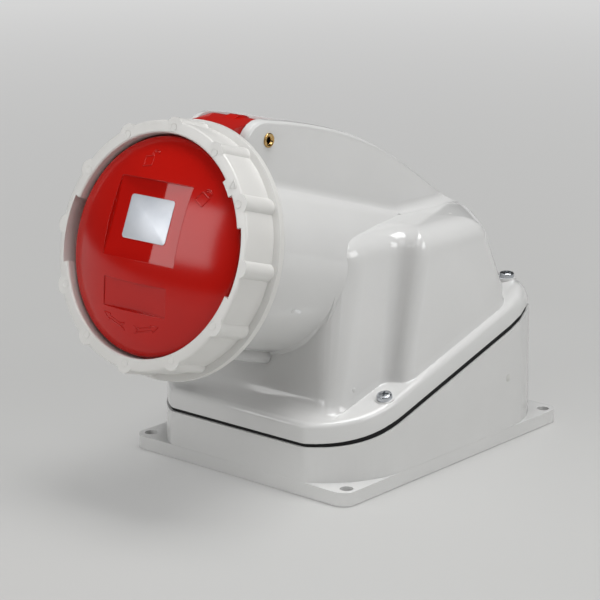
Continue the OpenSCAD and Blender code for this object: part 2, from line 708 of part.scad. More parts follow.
// Rounding under the barrel where it meets the front wall, fading out at both sides
wall_lean = atan2(lean_front, spring_z - ledge_at(-foot[0]));
neck_tilt = tan(incline - wall_lean);
neck_run = mouth_y - top[0] - (spring_z - mouth_z) * tan(wall_lean);
neck_s = neck_run * cos(wall_lean) / cos(incline - wall_lean);
function neck_fade(a) = let (k = max(0, min(1, 1.5 - abs(a - 270) / 60))) neck_r * k * k * (3 - 2 * k);
function neck_ring(out, up, sink, lift) = [for (a = [0:10:350])
    let (f = neck_fade(a), r = barrel_r - sink + f * out)
    [r * cos(a), r * sin(a), r * sin(a) * neck_tilt - neck_s + f * up + lift]];
module neck() {
    sink = 2 * over;
    loft(concat([neck_ring(0, 1, sink, neck_r)],
        [for (a = [0, 18, 36, 54, 72, 90]) neck_ring(1 - cos(a), 1 - sin(a), neck_sink, 0)],
        [neck_ring(1, 0, neck_sink, -sink), neck_ring(0, 0, sink, -sink)]));
}

// Step in the barrel on which the carrier is clamped, with four screw lugs
module carrier_seat(bore) {
    wide = 2 * carrier_screw_a;
    difference() {
        tube(carrier_r + seat_gap, bore + barrel_t / 2, seat_s, seat_s + seat_t);
        for (a = [0, 90, 180, 270])
            sector(carrier_r, bore - seat_step, seat_s - over, seat_s + seat_t + over, a,
                (a % 180 == 0 ? wide : 180 - wide) - seat_lug_deg);
    }
}

// Key bulge with rounded lower edges
module key_bulge() {
    side = key_half - key_edge;
    drop = key_drop - key_edge;
    translate([0, 0, -key_end]) linear_extrude(key_end - rim_s) polygon(concat([[-key_half, -barrel_r / 2]],
        arc(-side, -drop, key_edge, 180, 270, 4), arc(side, -drop, key_edge, 270, 360, 4),
        [[key_half, -barrel_r / 2]]));
}

module hood() {
    bore = barrel_r - barrel_t;
    color(grey) difference() {
        union() {
            difference() {
                union() {
                    block();
                    roof_fillets();
                    at_mouth() {
                        crest_fillets();
                        translate([0, 0, -barrel_end]) cylinder(r = barrel_r, h = barrel_end - rim_s);
                        neck();
                        crest();
                        tube(barrel_r - 2 * over, collar_r, rim_s, rim_s + collar_l);
                        key_bulge();
                    }
                }
                block_hollow();
                at_mouth() {
                    translate([0, 0, -bore_end]) cylinder(r = bore, h = bore_end);
                    side_profile(2 * (crest_half - hood_t - over), crest_hollow());
                }
            }
            at_mouth() {
                carrier_seat(bore);
                for (k = [0:lug_n - 1])
                    sector(collar_r - over, lug_r, lug_s, lug_s + lug_l, lug_a + lug_step * k, lug_deg);
            }
            at_cover_screws() translate([0, 0, -skirt_h]) cylinder(r = boss_r, h = skirt_h, $fn = 32);
        }
        below_edge();
        at_cover_screws() {
            translate([0, 0, -rear_z]) cylinder(d = screw_d + screw_clear, h = rear_z + over, $fn = 32);
            cylinder(r = boss_r, h = screw_head_h, $fn = 32);
        }
        at_mouth() {
            translate([0, 0, -rim_s - throat_l]) cylinder(r = throat_r, h = throat_l + over);
            translate([-slot_half, -key_drop + barrel_t, -collar_s + clamp_plate_t])
                cube([2 * slot_half, key_drop - barrel_t - carrier_r - 3 * over, collar_s]);
            translate([-crest_half + cheek_t, barrel_r + hinge_floor, -pin_s - slot_back])
                cube([2 * (crest_half - cheek_t), crest_u, pin_s + slot_back]);
            translate([0, pin_u, -pin_s]) rotate([0, 90, 0])
                cylinder(d = pin_d + 2 * pin_fit, h = base_w, center = true, $fn = 32);
            at_carrier_screws() translate([0, 0, -seat_t - over])
                cylinder(d = carrier_screw_d, h = seat_t + 2 * over, $fn = 24);
        }
    }
}
lug_s = rim_s + lug_back;
slot_back = knuckle_r + knuckle_rib + hinge_back;
carrier_screw_angles = [for (a = [0, 180], sa = [-1, 1]) a + sa * carrier_screw_a];
function crest_hollow() = let (s0 = seat_s + seat_t + crest_sink, s1 = crest_end - crest_half)
    concat([[s0, crest_low]], [for (q = crest_line(hood_t)) if (q[0] > s0 && q[0] < s1) q],
    [[s1, crest_low]]);

module at_carrier_screws() {
    for (a = carrier_screw_angles) rotate([0, 0, a])
        translate([(carrier_r + barrel_r - barrel_t) / 2, 0, -seat_s]) children();
}

// Cover screws with cross slots
module cover_screws() {
    color(zinc) at_cover_screws() difference() {
        union() {
            cylinder(d = screw_head_d, h = screw_head_h, $fn = 32);
            translate([0, 0, -screw_l]) cylinder(d = screw_d, h = screw_l + screw_head_h / 2, $fn = 32);
        }
        for (a = [0, 90]) rotate([0, 0, slot_a + a])
            translate([-slot_l / 2, -slot_w / 2, screw_head_h / 2]) cube([slot_l, slot_w, screw_head_h]);
    }
}

// Threaded brass inserts in the screw columns
module screw_inserts() {
    color(brass) at_cover_screws() difference() {
        translate([0, 0, -insert_top - insert_l]) cylinder(d = insert_d, h = insert_l, $fn = 32);
        translate([0, 0, -insert_top - insert_l - over])
            cylinder(d = screw_d, h = insert_l + 2 * over, $fn = 32);
    }
}

// Domed lid with strap and hinge knuckle
dome_c = dome_h - dome_r;
edge_r = lid_r - dome_edge;
edge_a = acos(edge_r / (dome_r - dome_edge));
edge_s = -dome_c - (dome_r - dome_edge) * sin(edge_a);
lid_back = lid_flange_s + lid_flange_t;
module lid_body() {
    seal_out = seal_r + seal_w;
    seal_top = lid_back - seal_groove;
    turned(concat([for (i = [0:12]) let (a = 90 + (edge_a - 90) * i / 12)
        [dome_r * cos(a), -dome_c - dome_r * sin(a)]],
        [for (i = [1:3]) let (a = edge_a * (1 - i / 3))
            [edge_r + dome_edge * cos(a), edge_s - dome_edge * sin(a)]],
        [[lid_r, lid_flange_s], [bore_r - ring_clear, lid_flange_s], [bore_r - ring_clear, lid_back],
        [seal_out, lid_back], [seal_out, seal_top], [seal_r, seal_top], [seal_r, lid_back],
        [lid_hollow_r, lid_back], [lid_hollow_r, lid_hollow_s], [0, lid_hollow_s]]));
}

// Flat pocket sunk into the dome around a point above or below the axis
module dome_pocket(u, w, h, depth) {
    translate([0, 0, dome_c]) rotate([-asin(u / dome_r), 0, 0])
        translate([-w / 2, -h / 2, dome_r - depth]) cube([w, h, 2 * dome_h]);
}

strap_end = ring_l + arm_back;
arm_top = ring_flange_r - arm_drop;
arm_half = crest_half - cheek_t - knuckle_clear;
arm_rise = atan2(arm_top - pin_u, pin_s - strap_end);
arm_dist = sqrt(pow(arm_top - pin_u, 2) + pow(pin_s - strap_end, 2));
arm_a = 180 - arm_rise - acos(knuckle_r / arm_dist);
module lid() {
    color(red) difference() {
        union() {
            difference() {
                lid_body();
                dome_pocket(plate_u, plate_w, plate_h, plate_depth);
                dome_pocket(-strip_u, strip_w, strip_h, strip_depth);
            }
            sector(strap_r, strap_r + strap_t, lid_back - over, strap_end + 2 * over, 90, strap_deg);
            side_profile(2 * arm_half, [[strap_end, strap_r], [strap_end, arm_top],
                [pin_s + knuckle_r * cos(arm_a), pin_u + knuckle_r * sin(arm_a)], [pin_s, pin_u],
                [pin_s, pin_u - knuckle_r], [strap_end + strap_t, strap_r]]);
            at_pin() cylinder(r = knuckle_r, h = 2 * arm_half, center = true);
            at_pin() cylinder(r = knuckle_r + knuckle_rib, h = knuckle_rib_w, center = true);
        }
        at_pin() cylinder(d = pin_d + 2 * pin_clear, h = base_w, center = true, $fn = 32);
    }
}

module at_pin() {
    translate([0, pin_u, -pin_s]) rotate([0, 90, 0]) children();
}

// Seal ring in the lid
module lid_seal() {
    color(black) tube(seal_r, seal_r + seal_w, lid_back - seal_groove, rim_s - seal_clear);
}

// Bayonet locking ring with grip lobes and two windows
tab_s = lug_s + lug_l + lug_clear;
catch_s = lid_back + ring_clear;
tab_a = lug_a + ring_turn;
module locking_ring() {
    color(white) difference() {
        union() {
            turned(concat([[lip_r, ring_edge / 2], [lip_r + ring_edge / 2, 0]],
                [for (a = [90, 60, 30, 0]) [ring_r - ring_edge * (1 - cos(a)), ring_edge * (1 - sin(a))]],
                [[ring_r, ring_l - ring_flange_t - over], [ring_flange_r, ring_l - ring_flange_t],
                [ring_flange_r, ring_l], [bore_r, ring_l], [bore_r, lip_l], [lip_r, lip_l]]));
            difference() {
                translate([0, 0, -ring_l + over]) linear_extrude(ring_l - over) for (k = [0:lobe_n - 1])
                    rotate([0, 0, lobe_a + 360 * k / lobe_n]) translate([lobe_circle, 0])
                    circle(lobe_round, $fn = 32);
                translate([0, 0, -ring_l]) cylinder(r = (bore_r + ring_r) / 2, h = ring_l + over);
            }
            sector(lip_r - pointer_l, lip_r + over, 0, pointer_t, pointer_a, pointer_deg);
            for (k = [0:lug_n - 1]) {
                sector(tab_r, bore_r + over, tab_s, ring_l - tab_back, tab_a + lug_step * k, tab_deg);
                sector(bore_r - catch_h, bore_r + over, catch_s, catch_s + catch_t,
                    tab_a + lug_step * k, tab_deg / 2);
            }
        }
        for (a = [0, 180]) sector(lip_r - over, window_r, -over, lip_l + over, a, 2 * window_half);
    }
}

// Tubular hinge pin with flared ends
module hinge_pin() {
    color(brass) at_pin() difference() {
        union() {
            cylinder(d = pin_d, h = 2 * crest_half, center = true, $fn = 32);
            for (sz = [-1, 1]) translate([0, 0, sz * (crest_half + pin_end_t / 2)])
                cylinder(d = pin_end_d, h = pin_end_t, center = true, $fn = 32);
        }
        cylinder(d = pin_bore, h = base_w, center = true, $fn = 32);
    }
}

// Contact positions on the carrier: line 1 to 3, neutral, earth and the pilot in the middle
earth_a = -90;
module at_contact(k) {
    rotate([0, 0, earth_a - 72 * (k + 1)]) translate([contact_circle, 0, 0]) children();
}

// Contact carrier with stepped bores
collar_s = seat_s - carrier_seal_t;
shoulder_s = collar_s - clamp_plate_t;
contact_s = carrier_s + mouth_depth;
module carrier_bore(bore, d) {
    hole = d + 2 * contact_clear;
    translate([0, 0, -contact_s - over])
        cylinder(d = bore + mouth_lead, h = mouth_depth + 2 * over, $fn = 32);
    translate([0, 0, -seat_s - over]) cylinder(d = hole, h = seat_s + over - contact_s, $fn = 32);
    translate([0, 0, -seat_s - over])
        cylinder(d = hole + 2 * contact_collar, h = seat_s + over - collar_s + contact_collar_l, $fn = 32);
}
module contact_carrier() {
    color(dark) difference() {
        union() {
            translate([0, 0, -collar_s]) cylinder(r = carrier_r, h = collar_s - carrier_s);
            translate([0, 0, -collar_s]) cylinder(r = carrier_r + carrier_shoulder, h = carrier_shoulder_t);
        }
        for (k = [0:3]) at_contact(k) carrier_bore(line_bore, line_d);
        at_contact(4) carrier_bore(earth_bore, earth_d);
        carrier_bore(pilot_bore, pilot_d);
        at_retainer_screws() translate([0, 0, -over])
            cylinder(d = retainer_screw_d, h = retainer_screw_l + 2 * over, $fn = 24);
    }
}

// Plate that clamps the carrier shoulder on the seat
plate_out = barrel_r - barrel_t - carrier_clear;
module clamp_plate() {
    in = carrier_r + plate_clear;
    step = in + carrier_shoulder;
    color(dark) difference() {
        turned([[in, shoulder_s], [plate_out, shoulder_s], [plate_out, collar_s], [step, collar_s],
            [step, collar_s - carrier_shoulder_t], [in, collar_s - carrier_shoulder_t]]);
        at_carrier_screws() cylinder(d = carrier_screw_d + screw_clear, h = seat_s, $fn = 24);
    }
}

// Flat seal between clamp plate and seat
module carrier_seal() {
    color(black) difference() {
        tube(carrier_r + seat_gap, plate_out, collar_s, seat_s);
        at_carrier_screws() translate([0, 0, -over])
            cylinder(d = carrier_screw_d + screw_clear, h = seat_s, $fn = 24);
    }
}

// Screws through the clamp plate
head_s = clamp_plate_t + carrier_seal_t;
module carrier_screws() {
    color(zinc) at_carrier_screws() difference() {
        union() {
            translate([0, 0, head_s]) cylinder(d = carrier_head_d, h = carrier_head_h, $fn = 24);
            translate([0, 0, -seat_t])
                cylinder(d = carrier_screw_d - 2 * pin_fit, h = seat_t + head_s + over, $fn = 24);
        }
        translate([-carrier_head_d, -slot_w / 2, head_s + carrier_head_h / 2])
            cube([2 * carrier_head_d, slot_w, carrier_head_h]);
    }
}

// Plate that holds the contact collars in the carrier
module at_retainer_screws() {
    for (k = [0, 1]) rotate([0, 0, earth_a + 108 + 144 * k])
        translate([carrier_r - retainer_screw_in, 0, -collar_s]) children();
}
module contact_retainer() {
    back = collar_s + retainer_t;
    color(dark) difference() {
        translate([0, 0, -back]) cylinder(r = carrier_r, h = retainer_t);
        translate([0, 0, -back - over]) {
            for (k = [0:3])
                at_contact(k) cylinder(d = line_d + 2 * contact_clear, h = retainer_t + 2 * over, $fn = 32);
            at_contact(4) cylinder(d = earth_d + 2 * contact_clear, h = retainer_t + 2 * over, $fn = 32);
            cylinder(d = pilot_d + 2 * contact_clear, h = retainer_t + 2 * over, $fn = 32);
        }
        at_retainer_screws() translate([0, 0, -retainer_t - over])
            cylinder(d = retainer_screw_d + screw_clear, h = retainer_t + 2 * over, $fn = 24);
    }
}

// Screws that hold the retainer plate
module retainer_screws() {
    color(zinc) at_retainer_screws() difference() {
        union() {
            translate([0, 0, -retainer_t - carrier_head_h])
                cylinder(d = carrier_head_d, h = carrier_head_h, $fn = 24);
            translate([0, 0, -retainer_t - over]) cylinder(d = retainer_screw_d - 2 * pin_fit,
                h = retainer_t + over + retainer_screw_l, $fn = 24);
        }
        translate([-carrier_head_d, -slot_w / 2, -retainer_t - 3 * carrier_head_h / 2])
            cube([2 * carrier_head_d, slot_w, carrier_head_h]);
    }
}

// Brass contact with pin bore, collar and pillar terminal
terminal_s = seat_s + terminal_l;
clamp_s = terminal_s - wire_l / 2;
module contact(bore, d) {
    difference() {
        union() {
            translate([0, 0, -terminal_s]) cylinder(d = d, h = terminal_s - contact_s, $fn = 32);
            translate([0, 0, -collar_s]) cylinder(d = d + 2 * contact_collar, h = contact_collar_l, $fn = 32);
        }
        translate([0, 0, -contact_s - pin_bore_l]) cylinder(d = bore, h = pin_bore_l + over, $fn = 32);
        translate([0, 0, -terminal_s - over])
            cylinder(d = min(wire_d, bore - wire_wall), h = wire_l + over, $fn = 32);
        translate([0, 0, -clamp_s]) rotate([0, 90, 0]) cylinder(d = clamp_d, h = d, $fn = 24);
    }
}

module line_contact_1() {
    color(brass) at_contact(0) contact(line_bore, line_d);
}

module line_contact_2() {
    color(brass) at_contact(1) contact(line_bore, line_d);
}

module line_contact_3() {
    color(brass) at_contact(2) contact(line_bore, line_d);
}

module neutral_contact() {
    color(brass) at_contact(3) contact(line_bore, line_d);
}

module earth_contact() {
    color(brass) at_contact(4) contact(earth_bore, earth_d);
}

module pilot_contact() {
    color(brass) rotate([0, 0, earth_a + 36]) contact(pilot_bore, pilot_d);
}

// Terminal screws in the pillar terminals
module clamp_screw(d) {
    translate([d / 2 - clamp_in, 0, -clamp_s]) rotate([0, 90, 0]) difference() {
        cylinder(d = clamp_d - 2 * pin_fit, h = clamp_l, $fn = 24);
        translate([-clamp_d, -slot_w / 2, clamp_l - slot_w]) cube([2 * clamp_d, slot_w, clamp_l]);
    }
}
module terminal_screws() {
    color(zinc) {
        for (k = [0:3]) at_contact(k) clamp_screw(line_d);
        at_contact(4) clamp_screw(earth_d);
        rotate([0, 0, earth_a + 36]) clamp_screw(pilot_d);
    }
}

mounting_base();
cover_gasket();
hood();
cover_screws();
screw_inserts();
at_mouth() lid();
at_mouth() lid_seal();
at_mouth() locking_ring();
at_mouth() hinge_pin();
at_mouth() contact_carrier();
at_mouth() clamp_plate();
at_mouth() carrier_seal();
at_mouth() carrier_screws();
at_mouth() contact_retainer();
at_mouth() retainer_screws();
at_mouth() line_contact_1();
at_mouth() line_contact_2();
at_mouth() line_contact_3();
at_mouth() neutral_contact();
at_mouth() earth_contact();
at_mouth() pilot_contact();
at_mouth() terminal_screws();
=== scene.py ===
"""Dresses a surface-mounted inclined socket outlet with a hinged lid and a bayonet locking ring.

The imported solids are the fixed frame. This script gives them their finishes, sets welded smooth
shells over the mouldings and adds the label, the raised signs, the marks that the moulds leave, the
screw heads and the rolled pin ends. Sizes in the fields are millimetres, Blender works in metres.
"""

import json
import logging
import math
from dataclasses import dataclass, replace
from enum import Enum
from typing import Any, Callable

import bmesh
import bpy
import numpy as np
from mathutils import Matrix, Vector


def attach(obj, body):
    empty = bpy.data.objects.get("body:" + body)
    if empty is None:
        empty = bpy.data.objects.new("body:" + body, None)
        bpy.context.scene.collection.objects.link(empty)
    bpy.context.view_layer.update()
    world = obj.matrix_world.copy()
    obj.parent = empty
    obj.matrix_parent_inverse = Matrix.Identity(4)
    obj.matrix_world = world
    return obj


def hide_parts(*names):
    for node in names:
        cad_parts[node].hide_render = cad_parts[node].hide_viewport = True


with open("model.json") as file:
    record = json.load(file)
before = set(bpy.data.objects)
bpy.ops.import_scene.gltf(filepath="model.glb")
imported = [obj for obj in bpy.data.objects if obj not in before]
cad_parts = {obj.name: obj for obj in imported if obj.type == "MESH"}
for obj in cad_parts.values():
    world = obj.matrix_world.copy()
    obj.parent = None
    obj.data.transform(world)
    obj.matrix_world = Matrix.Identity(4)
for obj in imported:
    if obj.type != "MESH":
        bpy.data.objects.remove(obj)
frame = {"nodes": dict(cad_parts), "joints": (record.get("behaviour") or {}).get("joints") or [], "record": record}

LOG = logging.getLogger("socket_outlet")
MM = 0.001
PHOTO_PX = 600
SENSOR_MM = 36.0
WELD_MM = 0.002
# Least cosine between a face normal and an axis at which the face counts as facing that axis
FACING = 0.9
# Octaves, falloff and used share of the noise that clouds a finish
CLOUD_DETAIL = 4.0
CLOUD_FALLOFF = 0.55
CLOUD_SHARE = (0.35, 0.7)
GRAIN_DETAIL = 2.0
EDGE_SAMPLES = 6
# Steps in which a small edge is rounded
EDGE_STEPS = 2
POLYAMIDE_IOR = 1.53


class Slot(Enum):
    """Material slots of the record."""

    HOUSING = "housing_grey"
    RING = "ring_white"
    LID = "lid_red"
    SEAL = "seal_black"
    ZINC = "screw_zinc"
    BRASS = "brass"
    CARRIER = "carrier_dark"


class Body(Enum):
    """Moving bodies of the frame."""

    HOUSING = "housing"
    LID = "lid"
    RING = "ring"


class Shackle(Enum):
    """States of a padlock sign."""

    CLOSED = "closed"
    OPEN = "open"


class Heading(Enum):
    """Ways in which an arrow sign points round the lid, as the sign of its angle."""

    CLOCKWISE = 1
    COUNTER = -1


def linear(hex_colour: str) -> tuple[float, float, float, float]:
    """Turns an sRGB hex colour into linear light.

    Args:
        hex_colour: Colour written as #RRGGBB.

    Returns:
        Red, green, blue and an alpha of one.
    """
    srgb = [int(hex_colour[i:i + 2], 16) / 255 for i in (1, 3, 5)]
    red, green, blue = [c / 12.92 if c <= 0.04045 else ((c + 0.055) / 1.055) ** 2.4 for c in srgb]
    return red, green, blue, 1.0


def add_node(tree: bpy.types.NodeTree, kind: str, values: dict[str | int, Any],
             links: dict[str | int, bpy.types.NodeSocket]) -> bpy.types.Node:
    """Adds one shader node with its settings and links.

    Args:
        tree: Tree that takes the node.
        kind: Type name of the node.
        values: Properties by attribute name, and constants by the name or number of their socket.
        links: Output sockets by the name or number of the input that they feed.

    Returns:
        The new node.
    """
    node = tree.nodes.new(kind)
    for name, value in values.items():
        if isinstance(name, str) and hasattr(node, name):
            setattr(node, name, value)
        else:
            node.inputs[name].default_value = value
    for name, source in links.items():
        tree.links.new(source, node.inputs[name])
    return node


@dataclass(frozen=True)
class Finish:
    """A surface as it was made: colour, gloss, faint clouds, fine grain and softened edges.

    The grain of a mould or a plating is finer than a pixel, so grain_mm is drawn coarser than it.
    """

    name: str
    colour: str
    cloud_colour: str
    roughness: float
    roughness_swing: float
    cloud_mm: float
    grain_mm: float
    grain_depth_mm: float
    edge_mm: float
    ior: float = 1.5
    metallic: float = 0.0

    def material(self) -> bpy.types.Material:
        """Builds the node material.

        Returns:
            The material, new on the first call.
        """
        known = bpy.data.materials.get(self.name)
        if known:
            return known
        made = bpy.data.materials.new(self.name)
        made.use_nodes = True
        tree = made.node_tree
        shader = tree.nodes["Principled BSDF"]
        place = add_node(tree, "ShaderNodeTexCoord", {}, {}).outputs["Object"]
        clouds = add_node(tree, "ShaderNodeTexNoise",
                          {"Scale": 1 / (self.cloud_mm * MM), "Detail": CLOUD_DETAIL,
                           "Roughness": CLOUD_FALLOFF}, {"Vector": place}).outputs["Fac"]
        soft = add_node(tree, "ShaderNodeMapRange",
                        {"From Min": CLOUD_SHARE[0], "From Max": CLOUD_SHARE[1]}, {"Value": clouds})
        colour = add_node(tree, "ShaderNodeMixRGB",
                          {"Color1": linear(self.colour), "Color2": linear(self.cloud_colour)},
                          {"Fac": soft.outputs["Result"]})
        gloss = add_node(tree, "ShaderNodeMapRange",
                         {"To Min": self.roughness - self.roughness_swing,
                          "To Max": self.roughness + self.roughness_swing}, {"Value": clouds})
        grain = add_node(tree, "ShaderNodeTexNoise",
                         {"Scale": 1 / (self.grain_mm * MM), "Detail": GRAIN_DETAIL},
                         {"Vector": place})
        edges = add_node(tree, "ShaderNodeBevel",
                         {"samples": EDGE_SAMPLES, "Radius": self.edge_mm * MM}, {})
        relief = add_node(tree, "ShaderNodeBump", {"Distance": self.grain_depth_mm * MM},
                          {"Height": grain.outputs["Fac"], "Normal": edges.outputs["Normal"]})
        tree.links.new(colour.outputs["Color"], shader.inputs["Base Color"])
        tree.links.new(gloss.outputs["Result"], shader.inputs["Roughness"])
        tree.links.new(relief.outputs["Normal"], shader.inputs["Normal"])
        shader.inputs["Metallic"].default_value = self.metallic
        shader.inputs["IOR"].default_value = self.ior
        return made


# Light grey polyamide from a polished mould: an even, glossy wall with small lights on its corners
HOUSING_GREY = Finish(
    "moulded_grey_polyamide", "#CCCCCB", "#C8C8C7", roughness=0.12, roughness_swing=0.02,
    cloud_mm=60, grain_mm=1.2, grain_depth_mm=0.001, edge_mm=0.4, ior=POLYAMIDE_IOR)
# The same wall where a round ejector pressed on it: a faint, duller disc
EJECTOR_GREY = Finish(
    "ejector_marked_polyamide", "#C0C0BD", "#BCBCB9", roughness=0.34, roughness_swing=0.04,
    cloud_mm=20, grain_mm=0.6, grain_depth_mm=0.004, edge_mm=0.1, ior=POLYAMIDE_IOR)
# Warm white polyamide from a finely eroded mould: satin, so that lights spread
RING_WHITE = Finish(
    "moulded_white_polyamide", "#D1D0CD", "#CCCBC8", roughness=0.3, roughness_swing=0.04,
    cloud_mm=50, grain_mm=0.7, grain_depth_mm=0.004, edge_mm=0.35, ior=POLYAMIDE_IOR)
# The same white where the mould was engraved: fine raised lines that stay crisp
MARK_WHITE = replace(RING_WHITE, name="engraved_white_polyamide", edge_mm=0.04)
# Red polyamide from a lightly eroded mould: deep colour with a soft, broad light on the dome
LID_RED = Finish(
    "moulded_red_polyamide", "#AF130B", "#A9110A", roughness=0.15, roughness_swing=0.02,
    cloud_mm=35, grain_mm=1.2, grain_depth_mm=0.001, edge_mm=0.4, ior=1.38)
# The same red where the mould was engraved: fine raised lines that stay crisp
SIGN_RED = replace(LID_RED, name="engraved_red_polyamide", edge_mm=0.04)
# Red polyamide off a polished insert: a mirror that shows the edge of a lamp
PANEL_RED = Finish(
    "polished_red_polyamide", "#AD120B", "#A8100A", roughness=0.012, roughness_swing=0.004,
    cloud_mm=35, grain_mm=6.0, grain_depth_mm=0.0002, edge_mm=0.2, ior=1.38)
# Black moulded rubber: deep and dull
SEAL_BLACK = Finish(
    "moulded_black_rubber", "#060607", "#0B0B0C", roughness=0.6, roughness_swing=0.08,
    cloud_mm=20, grain_mm=0.6, grain_depth_mm=0.01, edge_mm=0.2, ior=1.38)
# Zinc plated steel: bright, slightly bluish, with a fine grain
ZINC_STEEL = Finish(
    "zinc_plated_steel", "#C9CCD0", "#B4B8BD", roughness=0.24, roughness_swing=0.08,
    cloud_mm=3, grain_mm=0.5, grain_depth_mm=0.006, edge_mm=0.15, metallic=1.0)
# Turned brass: warm and bright, with fine turning marks
TURNED_BRASS = Finish(
    "turned_brass", "#DCBE86", "#B98F52", roughness=0.17, roughness_swing=0.05,
    cloud_mm=2.5, grain_mm=0.4, grain_depth_mm=0.004, edge_mm=0.1, metallic=1.0)
# Dark glass filled polyamide: nearly matt, with a fine speckle
CARRIER_DARK = Finish(
    "glass_filled_polyamide", "#2A2B2D", "#333437", roughness=0.46, roughness_swing=0.08,
    cloud_mm=12, grain_mm=0.5, grain_depth_mm=0.015, edge_mm=0.4, ior=POLYAMIDE_IOR)
# Bare foil: silver white with a satin sheen
FOIL_SILVER = Finish(
    "silver_foil", "#C6CAD0", "#B9BEC6", roughness=0.38, roughness_swing=0.05,
    cloud_mm=14, grain_mm=0.3, grain_depth_mm=0.002, edge_mm=0.1, metallic=0.3)

SLOT_FINISH = {
    Slot.HOUSING: HOUSING_GREY,
    Slot.RING: RING_WHITE,
    Slot.LID: LID_RED,
    Slot.SEAL: SEAL_BLACK,
    Slot.ZINC: ZINC_STEEL,
    Slot.BRASS: TURNED_BRASS,
    Slot.CARRIER: CARRIER_DARK,
}


def pick_only(obj: bpy.types.Object) -> None:
    """Makes one object the only selected and active one."""
    bpy.ops.object.select_all(action="DESELECT")
    obj.select_set(True)
    bpy.context.view_layer.objects.active = obj


def select_faces(obj: bpy.types.Object, test: Callable[[bmesh.types.BMFace], bool]) -> None:
    """Selects, in edit mode, the faces that pass a test.

    Args:
        obj: Object in edit mode.
        test: Tells whether a face is taken.
    """
    bpy.ops.mesh.select_mode(type="FACE")
    bpy.ops.mesh.select_all(action="DESELECT")
    mesh = bmesh.from_edit_mesh(obj.data)
    for face in mesh.faces:
        face.select = test(face)
    bmesh.update_edit_mesh(obj.data)


def select_edges(obj: bpy.types.Object, test: Callable[[bmesh.types.BMEdge], bool]) -> None:
    """Selects, in edit mode, the edges that pass a test.

    Args:
        obj: Object in edit mode.
        test: Tells whether an edge is taken.
    """
    bpy.ops.mesh.select_mode(type="EDGE")
    bpy.ops.mesh.select_all(action="DESELECT")
    mesh = bmesh.from_edit_mesh(obj.data)
    for edge in mesh.edges:
        edge.select = test(edge)
    bmesh.update_edit_mesh(obj.data)


def select_points(obj: bpy.types.Object, test: Callable[[bmesh.types.BMVert], bool]) -> None:
    """Selects, in edit mode, the points that pass a test.

    Args:
        obj: Object in edit mode.
        test: Tells whether a point is taken.
    """
    bpy.ops.mesh.select_mode(type="VERT")
    bpy.ops.mesh.select_all(action="DESELECT")
    mesh = bmesh.from_edit_mesh(obj.data)
    for vert in mesh.verts:
        vert.select = test(vert)
    bmesh.update_edit_mesh(obj.data)


def apply_modifier(obj: bpy.types.Object, kind: str, settings: dict[str, Any]) -> None:
    """Adds a modifier and applies it.

    Args:
        obj: Object that takes it.
        kind: Modifier type.
        settings: Values by attribute name.
    """
    pick_only(obj)
    bpy.ops.object.modifier_add(type=kind)
    added = obj.modifiers[-1]
    for name, value in settings.items():
        setattr(added, name, value)
    bpy.ops.object.modifier_apply(modifier=added.name)


def put(obj: bpy.types.Object, place: Matrix) -> None:
    """Moves a piece into place and writes that place into its mesh."""
    bpy.context.view_layer.update()
    obj.matrix_world = place @ obj.matrix_world
    pick_only(obj)
    bpy.ops.object.transform_apply(location=True, rotation=True, scale=True)


def spread(obj: bpy.types.Object, places: list[Matrix]) -> list[bpy.types.Object]:
    """Sets a piece and its copies, each with a mesh of its own, on their places.

    Args:
        obj: The piece at its own origin, which takes the last place.
        places: One place for each.

    Returns:
        All the pieces.
    """
    pieces = []
    for place in places[:-1]:
        twin = obj.copy()
        twin.data = obj.data.copy()
        bpy.context.scene.collection.objects.link(twin)
        put(twin, place)
        pieces.append(twin)
    put(obj, places[-1])
    return pieces + [obj]


def join(pieces: list[bpy.types.Object], name: str) -> bpy.types.Object:
    """Joins pieces into one object.

    Args:
        pieces: Objects to join.
        name: Name of the result.

    Returns:
        The joined object.
    """
    pick_only(pieces[0])
    for piece in pieces[1:]:
        piece.select_set(True)
    bpy.ops.object.join()
    pieces[0].name = name
    return pieces[0]


def settle(obj: bpy.types.Object, body: Body, slot: Slot, finish: Finish | None = None) -> None:
    """Gives a new piece the finish of its slot, or the finish given, and the body that carries it.

    Args:
        obj: The piece.
        body: Body on which it rides.
        slot: Material slot of the record.
        finish: Finish where it differs from the slot's own.
    """
    obj.data.materials.clear()
    obj.data.materials.append((finish or SLOT_FINISH[slot]).material())
    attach(obj, body.value)
    LOG.info("%s rides on %s", obj.name, body.value)


def smooth(obj: bpy.types.Object, crease_deg: float) -> None:
    """Smooths a piece between creases that are sharper than an angle."""
    pick_only(obj)
    bpy.ops.object.shade_smooth_by_angle(angle=math.radians(crease_deg))


def welded_shell(node: str, name: str, crease_deg: float) -> bpy.types.Object:
    """Copies a solid as one welded mesh with smooth walls and sharp creases.

    Args:
        node: Node of the frame.
        name: Name of the copy.
        crease_deg: Greatest angle between faces that still reads as one curve.

    Returns:
        The copy, which stands for the node.
    """
    shell = bpy.data.objects.new(name, frame["nodes"][node].data.copy())
    bpy.context.scene.collection.objects.link(shell)
    pick_only(shell)
    bpy.ops.object.mode_set(mode="EDIT")
    bpy.ops.mesh.select_all(action="SELECT")
    bpy.ops.mesh.remove_doubles(threshold=WELD_MM * MM)
    bpy.ops.mesh.customdata_custom_splitnormals_clear()
    bpy.ops.object.mode_set(mode="OBJECT")
    smooth(shell, crease_deg)
    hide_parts(node)
    return shell


